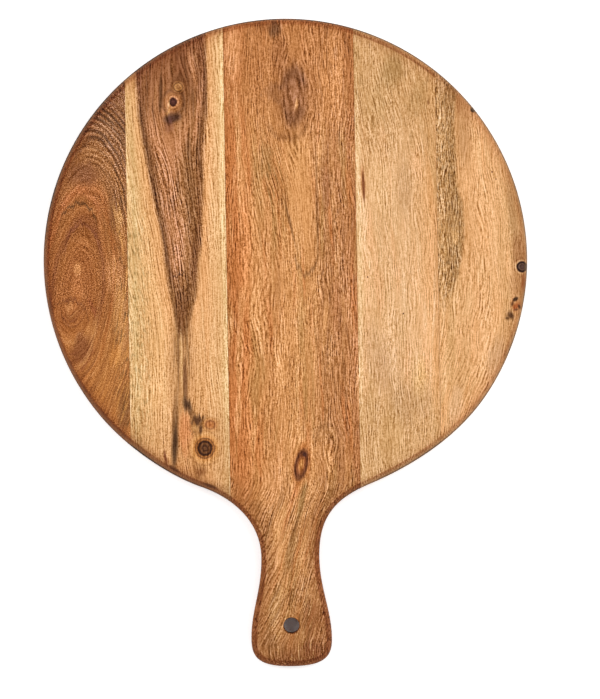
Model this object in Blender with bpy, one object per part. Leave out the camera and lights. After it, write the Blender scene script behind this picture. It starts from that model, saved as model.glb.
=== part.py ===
"""Round cutting and serving board with a handle, edge-glued from five staves of acacia.

The board lies on its underside with +Z up and the handle towards -Y. The origin is the disc's
centre on the underside. Lengths are in metres.

It is built as the real board is: staves of different widths are glued edge to edge, the outline
is cut through all of them at once, both rims are rounded over, and a hanging hole is drilled in
the handle, which grows out of one stave.
"""

import math

import bmesh
import bpy
from mathutils import Vector

# Disc and thickness
DISC_RADIUS = 0.1524
THICKNESS = 0.015

# Handle, measured along the board's axis from the disc's rim or from the handle's end
HANDLE_LENGTH = 0.1036
NECK_FROM_RIM = 0.0347
NECK_WIDTH = 0.0367
GRIP_FROM_END = 0.0175
GRIP_WIDTH = 0.0509

# How far each curve of the handle keeps the direction it starts or ends with
NECK_REACH = 0.0207
GRIP_REACH = 0.0179
GRIP_CORNER_REACH = 0.0115
GRIP_END_REACH = 0.0212

# Shoulders, where the rim leaves its circle and sweeps in to the neck. The left one, at -X, is fuller.
SHOULDER_INSIDE_RIM = 0.0104
LEFT_SHOULDER = {
    "leave_angle": math.radians(50.5),
    "rim_reach": 0.026,
    "half_width": 0.0552,
    "slope": math.radians(70.0),
    "reach_in": 0.0215,
    "reach_out": 0.021,
    "neck_reach": 0.0228,
}
RIGHT_SHOULDER = {
    "leave_angle": math.radians(55.5),
    "rim_reach": 0.0333,
    "half_width": 0.0503,
    "slope": math.radians(68.0),
    "reach_in": 0.029,
    "reach_out": 0.0226,
    "neck_reach": 0.0255,
}

# Rounded rims, tight at the far rim and full at the grip, which leave a flat land between them
FAR_ROUND = 0.003
GRIP_ROUND = 0.0065
LEAST_LAND = 0.001

# Hanging hole through the grip, with eased mouths
HOLE_RADIUS = 0.005
HOLE_FROM_END = 0.026
HOLE_EASE = 0.0006

# Staves across the board. The two outer ones run out to the rim.
GLUE_LINE = 0.0002
LEFT_INNER_WIDTH = 0.0621
HANDLE_STAVE_WIDTH = 0.0818
RIGHT_INNER_WIDTH = 0.0509
HANDLE_STAVE_OFFSET = 0.004

# Fineness of the curves, and how far cutters stand clear of the board
ARC_STEP = math.radians(3.0)
CURVE_STEPS = 8
ROUND_STEPS = 4
HOLE_SIDES = 32
SHARP_ANGLE = math.radians(35.0)
CUTTER_MARGIN = 0.01

# Colours, as linear red, green and blue
RUSSET_HEARTWOOD = (0.245, 0.095, 0.035)
HEART_AND_SAPWOOD = (0.480, 0.265, 0.110)
AMBER_HEARTWOOD = (0.440, 0.195, 0.072)
STRAW_SAPWOOD = (0.560, 0.320, 0.140)
HONEY_SAPWOOD = (0.570, 0.300, 0.125)
CURED_GLUE = (0.300, 0.160, 0.060)
OILED_WOOD_ROUGHNESS = 0.5
GLUE_ROUGHNESS = 0.6

HANDLE_END = DISC_RADIUS + HANDLE_LENGTH


def clear_scene():
    for old in list(bpy.data.objects):
        bpy.data.objects.remove(old)


def finish(name, colour, roughness):
    """A plain non-metallic material of that colour."""
    material = bpy.data.materials.new(name)
    material.use_nodes = True
    shader = material.node_tree.nodes["Principled BSDF"]
    shader.inputs["Base Color"].default_value = (*colour, 1.0)
    shader.inputs["Roughness"].default_value = roughness
    shader.inputs["Metallic"].default_value = 0.0
    return material


def bezier(start, leaving, arriving, end):
    """Points of a cubic curve after its start, the last one at its end."""
    points = []
    for step in range(1, CURVE_STEPS + 1):
        t = step / CURVE_STEPS
        s = 1.0 - t
        points.append(
            start * s**3 + leaving * (3 * s * s * t) + arriving * (3 * s * t * t) + end * t**3
        )
    return points


def rim_arc(shoulder):
    """The disc's rim on the +X side, from its far point to where the shoulder leaves the circle."""
    sweep = math.pi - shoulder["leave_angle"]
    steps = math.ceil(sweep / ARC_STEP)
    angles = [sweep * step / steps for step in range(steps + 1)]
    return [Vector((math.sin(a), math.cos(a))) * DISC_RADIUS for a in angles]


def half_outline(shoulder):
    """The board's outline on the +X side, from the far point of the rim to the end of the handle."""
    points = rim_arc(shoulder)
    leave = shoulder["leave_angle"]
    along_rim = Vector((-math.cos(leave), -math.sin(leave)))
    down_slope = Vector((-math.sin(shoulder["slope"]), -math.cos(shoulder["slope"])))
    towards_end = Vector((0.0, -1.0))

    rim = points[-1]
    bend = Vector((shoulder["half_width"], SHOULDER_INSIDE_RIM - DISC_RADIUS))
    neck = Vector((NECK_WIDTH / 2, -DISC_RADIUS - NECK_FROM_RIM))
    grip = Vector((GRIP_WIDTH / 2, GRIP_FROM_END - HANDLE_END))
    end = Vector((0.0, -HANDLE_END))

    points += bezier(
        rim,
        rim + along_rim * shoulder["rim_reach"],
        bend - down_slope * shoulder["reach_in"],
        bend,
    )
    points += bezier(
        bend,
        bend + down_slope * shoulder["reach_out"],
        neck - towards_end * shoulder["neck_reach"],
        neck,
    )
    points += bezier(neck, neck + towards_end * NECK_REACH, grip - towards_end * GRIP_REACH, grip)
    points += bezier(
        grip,
        grip + towards_end * GRIP_CORNER_REACH,
        end + Vector((GRIP_END_REACH, 0.0)),
        end,
    )
    return points


def outline():
    """The whole outline, clockwise seen from above, starting at the far point of the rim."""
    right = half_outline(RIGHT_SHOULDER)
    left = [Vector((-p.x, p.y)) for p in half_outline(LEFT_SHOULDER)]
    return right + left[-2:0:-1]


def inward_normals(points):
    """The unit direction into the board at each point of a clockwise outline."""
    normals = []
    for before, after in zip(points[-1:] + points[:-1], points[1:] + points[:1]):
        along = (after - before).normalized()
        normals.append(Vector((along.y, -along.x)))
    return normals


def round_radius(y):
    """The rims' rounding at this place along the board, growing towards the grip."""
    share = (DISC_RADIUS - y) / (DISC_RADIUS + HANDLE_END)
    radius = FAR_ROUND + (GRIP_ROUND - FAR_ROUND) * share * share
    return min(radius, (THICKNESS - LEAST_LAND) / 2)


def blank_mesh():
    """The cut and rounded board before it is divided into staves."""
    points = outline()
    normals = inward_normals(points)
    radii = [round_radius(p.y) for p in points]
    quarter = [math.pi / 2 * step / ROUND_STEPS for step in range(ROUND_STEPS + 1)]
    levels = [(angle, False) for angle in reversed(quarter)] + [(angle, True) for angle in quarter]

    mesh = bpy.data.meshes.new("board_blank")
    shape = bmesh.new()
    rings = []
    for angle, upper in levels:
        ring = []
        for point, normal, radius in zip(points, normals, radii):
            place = point + normal * (radius * (1.0 - math.cos(angle)))
            drop = radius * (1.0 - math.sin(angle))
            ring.append(shape.verts.new((place.x, place.y, THICKNESS - drop if upper else drop)))
        rings.append(ring)
    for lower, upper in zip(rings, rings[1:]):
        for i in range(len(points)):
            shape.faces.new((lower[i - 1], upper[i - 1], upper[i], lower[i]))
    shape.faces.new(rings[0])
    shape.faces.new(reversed(rings[-1]))
    bmesh.ops.recalc_face_normals(shape, faces=shape.faces)
    shape.to_mesh(mesh)
    shape.free()
    return mesh


def place_cutter(name, shape):
    """Makes a hidden cutting object of this shape, facing outwards."""
    bmesh.ops.recalc_face_normals(shape, faces=shape.faces)
    mesh = bpy.data.meshes.new(name)
    shape.to_mesh(mesh)
    shape.free()
    cutter = bpy.data.objects.new(name, mesh)
    cutter.hide_render = True
    cutter.display_type = "WIRE"
    bpy.context.scene.collection.objects.link(cutter)
    return cutter


def slab_cutter(name, left, right):
    """A slab between two planes across X, standing clear of the board on its other sides."""
    near = -HANDLE_END - CUTTER_MARGIN
    far = DISC_RADIUS + CUTTER_MARGIN
    low, high = -CUTTER_MARGIN, THICKNESS + CUTTER_MARGIN
    shape = bmesh.new()
    corners = [shape.verts.new((x, y, z)) for x in (left, right) for y in (near, far) for z in (low, high)]
    for face in ((0, 1, 3, 2), (4, 6, 7, 5), (0, 4, 5, 1), (2, 3, 7, 6), (0, 2, 6, 4), (1, 5, 7, 3)):
        shape.faces.new([corners[i] for i in face])
    return place_cutter(name, shape)


def hole_cutter():
    """The drilled hanging hole with its two eased mouths, as a turned solid."""
    mouth = HOLE_RADIUS + HOLE_EASE + CUTTER_MARGIN
    profile = (
        (mouth, THICKNESS + CUTTER_MARGIN),
        (HOLE_RADIUS, THICKNESS - HOLE_EASE),
        (HOLE_RADIUS, HOLE_EASE),
        (mouth, -CUTTER_MARGIN),
    )
    centre_y = HOLE_FROM_END - HANDLE_END
    shape = bmesh.new()
    rings = []
    for radius, z in profile:
        ring = []
        for side in range(HOLE_SIDES):
            turn = 2 * math.pi * side / HOLE_SIDES
            ring.append(shape.verts.new((radius * math.cos(turn), centre_y + radius * math.sin(turn), z)))
        rings.append(ring)
    for upper, lower in zip(rings, rings[1:]):
        for i in range(HOLE_SIDES):
            shape.faces.new((upper[i - 1], lower[i - 1], lower[i], upper[i]))
    shape.faces.new(rings[0])
    shape.faces.new(rings[-1])
    return place_cutter("hole_cutter", shape)


def cut(piece, operation, cutter):
    modifier = piece.modifiers.new(cutter.name, "BOOLEAN")
    modifier.operation = operation
    modifier.solver = "EXACT"
    modifier.object = cutter


def slice_of(blank, name, left, right, material, board):
    """One piece of the board between two planes across X."""
    mesh = blank.copy()
    mesh.name = name
    mesh.materials.append(material)
    mesh.shade_smooth()
    mesh.set_sharp_from_angle(angle=SHARP_ANGLE)
    piece = bpy.data.objects.new(name, mesh)
    bpy.context.scene.collection.objects.link(piece)
    piece.parent = board
    cut(piece, "INTERSECT", slab_cutter(name + "_slab", left, right))
    return piece


def stave_edges():
    """Each stave's left and right plane, from the left rim to the right one."""
    handle_left = HANDLE_STAVE_OFFSET - HANDLE_STAVE_WIDTH / 2
    handle_right = HANDLE_STAVE_OFFSET + HANDLE_STAVE_WIDTH / 2
    inner_left = handle_left - GLUE_LINE - LEFT_INNER_WIDTH
    inner_right = handle_right + GLUE_LINE + RIGHT_INNER_WIDTH
    return {
        "stave_left_outer": (-DISC_RADIUS - CUTTER_MARGIN, inner_left - GLUE_LINE),
        "stave_left_inner": (inner_left, handle_left - GLUE_LINE),
        "stave_handle": (handle_left, handle_right),
        "stave_right_inner": (handle_right + GLUE_LINE, inner_right),
        "stave_right_outer": (inner_right + GLUE_LINE, DISC_RADIUS + CUTTER_MARGIN),
    }


def build():
    clear_scene()
    board = bpy.data.objects.new("round_board", None)
    bpy.context.scene.collection.objects.link(board)
    blank = blank_mesh()

    woods = {
        "stave_left_outer": RUSSET_HEARTWOOD,
        "stave_left_inner": HEART_AND_SAPWOOD,
        "stave_handle": AMBER_HEARTWOOD,
        "stave_right_inner": STRAW_SAPWOOD,
        "stave_right_outer": HONEY_SAPWOOD,
    }
    edges = stave_edges()
    staves = {}
    for name, (left, right) in edges.items():
        wood = finish(name + "_wood", woods[name], OILED_WOOD_ROUGHNESS)
        staves[name] = slice_of(blank, name, left, right, wood, board)
    cut(staves["stave_handle"], "DIFFERENCE", hole_cutter())

    glue = finish("cured_glue", CURED_GLUE, GLUE_ROUGHNESS)
    places = list(edges.values())
    glue_names = (
        "glue_line_left_outer",
        "glue_line_left_inner",
        "glue_line_right_inner",
        "glue_line_right_outer",
    )
    for name, left_stave, right_stave in zip(glue_names, places, places[1:]):
        slice_of(blank, name, left_stave[1], right_stave[0], glue, board)
    bpy.data.meshes.remove(blank)


build()
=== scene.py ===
"""Dresses the round acacia board: its fine staves and glue lines, their wood, and a plain studio.

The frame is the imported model, in metres with +Z up: the disc's centre is the origin, the board lies on
its underside and the handle points to -Y. Places on the wood are given in millimetres on the board,
x across the staves and y along them, as a maker would mark them out from the disc's centre.
"""

from __future__ import annotations

import logging
import math
from dataclasses import dataclass, field
from enum import Enum
from typing import Sequence, Union

import bmesh
import bpy
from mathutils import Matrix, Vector
from mathutils.geometry import delaunay_2d_cdt

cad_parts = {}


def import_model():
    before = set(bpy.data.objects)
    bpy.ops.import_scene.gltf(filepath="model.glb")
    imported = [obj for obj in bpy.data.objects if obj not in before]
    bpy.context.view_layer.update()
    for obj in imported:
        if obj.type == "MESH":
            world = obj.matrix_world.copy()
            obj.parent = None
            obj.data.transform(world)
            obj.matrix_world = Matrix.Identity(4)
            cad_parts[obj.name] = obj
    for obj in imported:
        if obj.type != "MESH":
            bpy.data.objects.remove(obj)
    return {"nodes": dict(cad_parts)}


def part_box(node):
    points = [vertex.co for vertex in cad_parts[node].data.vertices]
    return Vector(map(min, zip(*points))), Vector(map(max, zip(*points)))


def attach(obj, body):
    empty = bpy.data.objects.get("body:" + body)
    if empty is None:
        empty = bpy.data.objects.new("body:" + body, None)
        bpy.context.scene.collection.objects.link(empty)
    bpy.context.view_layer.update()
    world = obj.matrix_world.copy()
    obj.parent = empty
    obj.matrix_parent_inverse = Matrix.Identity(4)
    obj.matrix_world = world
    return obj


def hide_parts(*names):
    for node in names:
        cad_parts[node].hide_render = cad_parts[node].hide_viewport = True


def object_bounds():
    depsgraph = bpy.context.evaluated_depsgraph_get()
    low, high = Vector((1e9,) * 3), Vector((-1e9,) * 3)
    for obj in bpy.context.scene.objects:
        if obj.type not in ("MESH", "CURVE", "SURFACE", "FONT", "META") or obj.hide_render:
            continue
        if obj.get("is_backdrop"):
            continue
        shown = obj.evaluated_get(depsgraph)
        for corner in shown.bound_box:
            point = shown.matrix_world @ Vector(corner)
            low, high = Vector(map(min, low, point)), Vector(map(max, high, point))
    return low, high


LOG = logging.getLogger("round_board")
MM = 0.001

Colour = tuple[float, float, float]


def shade(red: int, green: int, blue: int) -> Colour:
    """A colour as a screen shows it, in steps of 255, made linear for a shader.

    Args:
        red: red, from 0 to 255.
        green: green, from 0 to 255.
        blue: blue, from 0 to 255.

    Returns:
        The linear red, green and blue.
    """
    linear = []
    for step in (red, green, blue):
        share = step / 255.0
        linear.append(share / 12.92 if share <= 0.04045 else ((share + 0.055) / 1.055) ** 2.4)
    return (linear[0], linear[1], linear[2])


class Field:
    """A value that nodes work out at each point of a surface, with plain arithmetic."""

    def __init__(self, graph: NodeGraph, socket: bpy.types.NodeSocket) -> None:
        """Keeps the graph and the socket that holds the value."""
        self.graph = graph
        self.socket = socket

    def __add__(self, other: Value) -> Field:
        """This value plus another."""
        return self.graph.math("ADD", self, other)

    def __sub__(self, other: Value) -> Field:
        """This value less another."""
        return self.graph.math("SUBTRACT", self, other)

    def __rsub__(self, other: Value) -> Field:
        """Another value less this one."""
        return self.graph.math("SUBTRACT", other, self)

    def __mul__(self, other: Value) -> Field:
        """This value times another."""
        return self.graph.math("MULTIPLY", self, other)

    def __truediv__(self, other: Value) -> Field:
        """This value over another."""
        return self.graph.math("DIVIDE", self, other)

    def __neg__(self) -> Field:
        """This value with its sign turned."""
        return self.graph.math("MULTIPLY", self, -1.0)

    def __abs__(self) -> Field:
        """This value without its sign."""
        return self.graph.math("ABSOLUTE", self)


Value = Union[Field, float]
Stops = Sequence[tuple[float, Colour]]
Rings = Sequence[tuple[float, Colour, float]]
Place = tuple[float, float, float]


class NodeGraph:
    """A node tree that is written as sums and calls instead of single links."""

    NOISE_MIDDLE = 0.5
    NOISE_SPREAD = 4.0
    NOISE_ROUGHNESS = 0.55

    def __init__(self, tree: bpy.types.NodeTree) -> None:
        """Keeps the tree that the nodes go into."""
        self.tree = tree

    def add(self, kind: str, **settings: object) -> bpy.types.Node:
        """Adds a node.

        Args:
            kind: the node's type name.
            settings: properties to set on it.

        Returns:
            The new node.
        """
        node = self.tree.nodes.new(kind)
        for name, value in settings.items():
            setattr(node, name, value)
        return node

    def feed(self, socket: bpy.types.NodeSocket, value: object) -> None:
        """Links a field to an input, or sets the input to a plain value.

        Args:
            socket: the input.
            value: a field, a socket, a number, a colour or a vector.
        """
        if isinstance(value, Field):
            self.tree.links.new(value.socket, socket)
        elif isinstance(value, bpy.types.NodeSocket):
            self.tree.links.new(value, socket)
        elif socket.type == "RGBA" and len(value) == 3:
            socket.default_value = (*value, 1.0)
        else:
            socket.default_value = value

    def math(self, operation: str, *values: Value) -> Field:
        """One step of arithmetic.

        Args:
            operation: the Math node's operation.
            values: its inputs, in order.

        Returns:
            The result.
        """
        node = self.add("ShaderNodeMath", operation=operation)
        for socket, value in zip(node.inputs, values):
            self.feed(socket, value)
        return Field(self, node.outputs[0])

    def map_range(self, way: str, value: Value, start: Value, end: Value) -> Field:
        """How far a value lies from start to end. Start may be the larger of the two.

        Args:
            way: the Map Range node's way from one to the other.
            value: what is measured.
            start: the value that gives 0.
            end: the value that gives 1.

        Returns:
            The share, held between 0 and 1.
        """
        node = self.add("ShaderNodeMapRange", interpolation_type=way)
        for name, given in (("Value", value), ("From Min", start), ("From Max", end)):
            self.feed(node.inputs[name], given)
        return Field(self, node.outputs["Result"])

    def rise(self, value: Value, start: Value, end: Value) -> Field:
        """A smooth step from 0 at start to 1 at end."""
        return self.map_range("SMOOTHSTEP", value, start, end)

    def share(self, value: Value, start: float, end: float) -> Field:
        """An even run from 0 at start to 1 at end."""
        return self.map_range("LINEAR", value, start, end)

    def join(self, x: Value, y: Value, z: Value) -> Field:
        """A vector of three values.

        Args:
            x: its first value.
            y: its second value.
            z: its third value.

        Returns:
            The vector.
        """
        node = self.add("ShaderNodeCombineXYZ")
        for socket, value in zip(node.inputs, (x, y, z)):
            self.feed(socket, value)
        return Field(self, node.outputs[0])

    def split(self, vector: Union[Field, bpy.types.NodeSocket]) -> tuple[Field, Field, Field]:
        """Takes a vector apart.

        Args:
            vector: the vector.

        Returns:
            Its three values.
        """
        node = self.add("ShaderNodeSeparateXYZ")
        self.feed(node.inputs[0], vector)
        return tuple(Field(self, out) for out in node.outputs)

    def vector_sum(self, first: Field, second: Field) -> Field:
        """Adds two vectors.

        Args:
            first: the one.
            second: the other.

        Returns:
            Their sum.
        """
        node = self.add("ShaderNodeVectorMath", operation="ADD")
        self.feed(node.inputs[0], first)
        self.feed(node.inputs[1], second)
        return Field(self, node.outputs["Vector"])

    def length(self, vector: Field) -> Field:
        """Measures a vector.

        Args:
            vector: the vector.

        Returns:
            Its length.
        """
        node = self.add("ShaderNodeVectorMath", operation="LENGTH")
        self.feed(node.inputs[0], vector)
        return Field(self, node.outputs["Value"])

    def noise(self, place: Field, detail: float, fourth: Value = 0.0) -> Field:
        """Smooth noise around 0, mostly within -1 and 1.

        Args:
            place: where it is read, with one grain of noise to each unit.
            detail: how many finer layers it has.
            fourth: a fourth coordinate, for noise that follows a curved grain.

        Returns:
            The noise.
        """
        flat = isinstance(fourth, float)
        node = self.add("ShaderNodeTexNoise", noise_dimensions="3D" if flat else "4D")
        self.feed(node.inputs["Vector"], place)
        self.feed(node.inputs["Scale"], 1.0)
        self.feed(node.inputs["Detail"], detail)
        self.feed(node.inputs["Roughness"], self.NOISE_ROUGHNESS)
        if not flat:
            self.feed(node.inputs["W"], fourth)
        return (Field(self, node.outputs["Fac"]) - self.NOISE_MIDDLE) * self.NOISE_SPREAD

    def curve(self, value: Field, points: Sequence[tuple[float, float]]) -> Field:
        """A smooth curve through given points.

        Args:
            value: where the curve is read.
            points: pairs of place and height, in rising order of place.

        Returns:
            The curve's height.
        """
        places = [place for place, _ in points]
        heights = [height for _, height in points]
        low, high = min(heights), max(heights)
        node = self.add("ShaderNodeFloatCurve")
        self.feed(node.inputs["Value"], self.share(value, places[0], places[-1]))
        line = node.mapping.curves[0]
        for _ in points[2:]:
            line.points.new(0.5, 0.5)
        for point, (place, height) in zip(line.points, points):
            run = (place - places[0]) / (places[-1] - places[0])
            point.location = (run, (height - low) / (high - low))
        node.mapping.update()
        return Field(self, node.outputs["Value"]) * (high - low) + low

    def colour_ramp(self, value: Field, stops: Rings) -> bpy.types.Node:
        """A run of colours, each of which shows to its own degree.

        Args:
            value: where the run is read.
            stops: each stop's place, colour and cover, in rising order of place.

        Returns:
            The node, whose outputs are the colour and the cover.
        """
        first, last = stops[0][0], stops[-1][0]
        node = self.add("ShaderNodeValToRGB")
        self.feed(node.inputs["Fac"], self.share(value, first, last))
        elements = node.color_ramp.elements
        for _ in stops[2:]:
            elements.new(0.5)
        for element, (place, colour, cover) in zip(elements, stops):
            element.position = (place - first) / (last - first)
            element.color = (*colour, cover)
        return node

    def ramp(self, value: Field, stops: Stops) -> Field:
        """Colours that run on from one to the next, in rising order of place."""
        node = self.colour_ramp(value, [(place, colour, 1.0) for place, colour in stops])
        return Field(self, node.outputs["Color"])

    def mix(self, cover: Value, under: object, over: object, blend: str = "MIX") -> Field:
        """One colour laid over another.

        Args:
            cover: how much of the upper colour shows, from 0 to 1.
            under: the lower colour.
            over: the upper colour.
            blend: how they mix.

        Returns:
            The mixed colour.
        """
        node = self.add("ShaderNodeMix", data_type="RGBA", blend_type=blend)
        self.feed(node.inputs["Factor"], cover)
        colours = [socket for socket in node.inputs if socket.type == "RGBA"]
        self.feed(colours[0], under)
        self.feed(colours[1], over)
        result = next(socket for socket in node.outputs if socket.type == "RGBA")
        return Field(self, result)

    def deepen(self, colour: Field, stain: Colour, depth: Field) -> Field:
        """A colour seen through a coloured stain, or paler where the stain's depth is negative.

        Args:
            colour: the wood's colour.
            stain: what one measure of the stain lets through.
            depth: how many measures there are.

        Returns:
            The stained colour.
        """
        node = self.add("ShaderNodeGamma")
        self.feed(node.inputs["Color"], stain)
        self.feed(node.inputs["Gamma"], depth)
        return self.mix(1.0, colour, Field(self, node.outputs["Color"]), "MULTIPLY")


@dataclass(frozen=True)
class Spot:
    """An oval place on the board: its centre, its half sizes and its lean to the right going up."""

    x: float
    y: float
    wide: float
    long: float
    lean: float = 0.0


@dataclass(frozen=True)
class Stain:
    """A soft patch of another colour in the wood."""

    spot: Spot
    colour: Colour
    cover: float = 0.8
    soft: float = 0.7
    ragged: bool = True


@dataclass(frozen=True)
class Arc:
    """Part of an oval line, such as the crest of a growth ring. Upper arcs crest, lower ones sag."""

    spot: Spot
    line: float
    colour: Colour
    cover: float = 0.7
    upper: bool = True


@dataclass(frozen=True)
class Knot:
    """A branch's cut end: rings from its middle out, each a radius, a colour and how much of it shows."""

    spot: Spot
    rings: Rings


class Canvas:
    """The surface on which one stave's wood is painted, node by node."""

    RAGGED_ACROSS = 0.4
    RAGGED_ALONG = 3.0
    RAGGED_FINE = 0.5
    RAGGED_LONG = (0.07, 0.05)
    RAGGED_SHIFT = 7.0
    MID_HEIGHT = 7.5
    FADE_DOWN = 0.18
    NOISE_LEVEL = 0.4
    FLECK_SHIFT = 61.0
    FLECK_SOFT = 0.45
    MOTTLE_SHIFT = 13.0
    MOTTLE_SOFT = 0.8
    ARC_FADE = (0.1, 0.7)
    WOBBLE_FINE = 0.45
    WOBBLE = 0.045
    RIM_RING = (144.5, 149.0)
    HANDLE_HALF = (-40.0, -80.0)

    def __init__(self, tree: bpy.types.NodeTree, seed: float) -> None:
        """Reads the place on the board in millimetres. Marks fade on the rim towards half its height.

        Args:
            tree: the material's nodes.
            seed: a number that sets this stave's wood apart from the others.
        """
        graph = NodeGraph(tree)
        self.graph = graph
        self.seed = seed
        places = graph.add("ShaderNodeTexCoord")
        scaled = graph.add("ShaderNodeVectorMath", operation="SCALE")
        graph.feed(scaled.inputs[0], places.outputs["Object"])
        graph.feed(scaled.inputs["Scale"], 1.0 / MM)
        self.x, self.y, self.z = graph.split(scaled.outputs["Vector"])
        sunk = (self.MID_HEIGHT - abs(self.z - self.MID_HEIGHT)) * self.FADE_DOWN
        self.flat = graph.join(self.x, self.y, sunk)
        self.across: Field = self.x
        self.along: Field = self.y
        self.fourth: Value = 0.0
        self.colour: Field = self.flat
        fine = self.x * self.RAGGED_FINE
        wide, long = self.RAGGED_LONG
        aside = graph.noise(graph.join(fine + seed, self.y * wide, seed), detail=3.0)
        ahead = graph.noise(graph.join(fine - seed, self.y * long, seed + self.RAGGED_SHIFT), detail=2.0)
        feather = graph.join(aside * self.RAGGED_ACROSS, ahead * self.RAGGED_ALONG, 0.0)
        self.ragged = graph.vector_sum(self.flat, feather)

    def centred(self, spot: Spot, ragged: bool) -> Field:
        """The place on the board, moved, turned and scaled so that a spot's edge is 1 from its middle.

        Args:
            spot: the oval place.
            ragged: whether its edge is feathered along the grain.

        Returns:
            The place as the spot sees it.
        """
        node = self.graph.add("ShaderNodeMapping", vector_type="TEXTURE")
        self.graph.feed(node.inputs["Vector"], self.ragged if ragged else self.flat)
        self.graph.feed(node.inputs["Location"], (spot.x, spot.y, 0.0))
        self.graph.feed(node.inputs["Rotation"], (0.0, 0.0, -math.radians(spot.lean)))
        self.graph.feed(node.inputs["Scale"], (spot.wide, spot.long, 1.0))
        return Field(self.graph, node.outputs["Vector"])

    def within(self, spot: Spot) -> Field:
        """How far a point lies from a spot's middle, where the spot's edge is 1."""
        return self.graph.length(self.centred(spot, ragged=False))

    def cloud(self, width: float, length: float) -> Field:
        """Soft clouds that keep their place on the board.

        Args:
            width: their size across the board, in millimetres.
            length: their size along the board, in millimetres.

        Returns:
            The clouds, around 0.
        """
        level = self.z / width + self.NOISE_LEVEL
        place = self.graph.join(self.x / width + self.seed, self.y / length, level)
        return self.graph.noise(place, detail=1.0)

    def waver(self, width: float, length: float, sway: float) -> None:
        """Lets the grain sway sideways from straight, in clouds of a width and a length."""
        self.across = self.across + self.cloud(width, length) * (sway / 2)

    def swerve(self, spot: Spot, push: float) -> None:
        """Bends the grain round a knot.

        Args:
            spot: the oval in which the grain bends.
            push: how strongly it is spread, from 0 to 1.
        """
        distance = self.within(spot)
        near = self.graph.math("EXPONENT", -(distance * distance))
        self.across = self.across - (self.x - spot.x) * near * push

    def shear(self, spot: Spot) -> None:
        """Leans the grain round a spot the way the spot leans, and lets it run straight further along.

        Args:
            spot: the oval, whose lean the grain takes.
        """
        aside = (self.x - spot.x) / spot.wide
        near = self.graph.math("EXPONENT", -(aside * aside))
        reach = self.graph.math("TANH", (self.y - spot.y) / spot.long) * spot.long
        self.across = self.across - reach * near * math.tan(math.radians(spot.lean))

    def streaks(self, fine: float, long: float, detail: float, shift: float, aside: float = 0.0) -> Field:
        """Streaks that follow the grain.

        Args:
            fine: streaks to the millimetre across the grain.
            long: streaks to the millimetre along the grain.
            detail: how many finer layers they have.
            shift: sets one layer of streaks apart from another.
            aside: moves the same streaks sideways, in millimetres.

        Returns:
            The streaks, around 0 and mostly within -1 and 1.
        """
        start = self.seed + shift + aside * fine
        level = self.z * fine + self.NOISE_LEVEL
        place = self.graph.join(self.across * fine + start, self.along * long, level)
        fourth = self.fourth * long if isinstance(self.fourth, Field) else 0.0
        return self.graph.noise(place, detail, fourth)

    def flecks(self, where: Value, colour: Colour, fine: float, long: float, many: float) -> None:
        """Strews short marks of another colour along the grain.

        Args:
            where: where they show and how strongly, from 0 to 1.
            colour: their colour.
            fine: how many there are to the millimetre across the grain.
            long: how many there are to the millimetre along the grain.
            many: the height that the noise must reach to make one, less for more of them.
        """
        strewn = self.streaks(fine, long, detail=1.0, shift=fine * self.FLECK_SHIFT)
        self.tint(self.graph.rise(strewn, many, many + self.FLECK_SOFT) * where, colour)

    def mottle(
        self, colour: Colour, cover: Value, width: float, length: float, start: float = 0.0
    ) -> None:
        """Lays long soft streaks of another colour along the grain.

        Args:
            colour: their colour.
            cover: how much of it shows at most.
            width: how wide they are, in millimetres.
            length: how long they are, in millimetres.
            start: the height that the noise must reach to show one, less for more of them.
        """
        shift = width * self.MOTTLE_SHIFT + length
        strip = self.streaks(1.0 / width, 1.0 / length, detail=1.0, shift=shift)
        self.tint(self.graph.rise(strip, start, start + self.MOTTLE_SOFT) * cover, colour)

    def inside(self, spot: Spot, soft: float = 0.7, ragged: bool = True) -> Field:
        """A spot as a mask, 1 in its middle and 0 outside.

        Args:
            spot: the oval place.
            soft: how much of its radius fades.
            ragged: whether its edge is feathered along the grain.

        Returns:
            The mask.
        """
        ball = self.graph.add("ShaderNodeTexGradient", gradient_type="SPHERICAL")
        self.graph.feed(ball.inputs["Vector"], self.centred(spot, ragged))
        return self.graph.rise(Field(self.graph, ball.outputs["Fac"]), 0.0, soft)

    def tint(self, cover: Value, colour: object) -> None:
        """Lays a colour over what is there."""
        self.colour = self.graph.mix(cover, self.colour, colour)

    def stains(self, *stains: Stain) -> None:
        """Paints soft patches, each over those before it."""
        for stain in stains:
            self.tint(self.inside(stain.spot, stain.soft, stain.ragged) * stain.cover, stain.colour)

    def stain_all(self, colour: Colour, patches: Sequence[tuple[Spot, float]]) -> None:
        """Paints soft patches of one colour.

        Args:
            colour: the colour.
            patches: each patch's place, and how much of the colour shows there.
        """
        cover: Value = 0.0
        for spot, most in patches:
            cover = self.graph.math("MAXIMUM", self.inside(spot) * most, cover)
        self.tint(cover, colour)

    def arcs(self, *arcs: Arc) -> None:
        """Paints parts of oval lines, each over those before it.

        Args:
            arcs: the lines.
        """
        for arc in arcs:
            local = self.centred(arc.spot, ragged=True)
            distance = self.graph.length(local)
            _, height, _ = self.graph.split(local)
            on_line = self.graph.rise(abs(distance - 1.0), arc.line / arc.spot.wide, 0.0)
            side = self.graph.rise(height if arc.upper else -height, *self.ARC_FADE)
            self.tint(on_line * side * arc.cover, arc.colour)

    def knots(self, *knots: Knot) -> None:
        """Paints knots, each with its rings from the middle out.

        Args:
            knots: the knots.
        """
        for knot in knots:
            distance = self.within(knot.spot)
            place = self.graph.join(self.x * self.WOBBLE_FINE, self.y * self.WOBBLE_FINE, self.seed)
            wobble = self.graph.noise(place, detail=2.0) * self.WOBBLE
            rings = self.graph.colour_ramp(distance + wobble, knot.rings)
            self.tint(Field(self.graph, rings.outputs["Alpha"]), rings.outputs["Color"])

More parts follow.
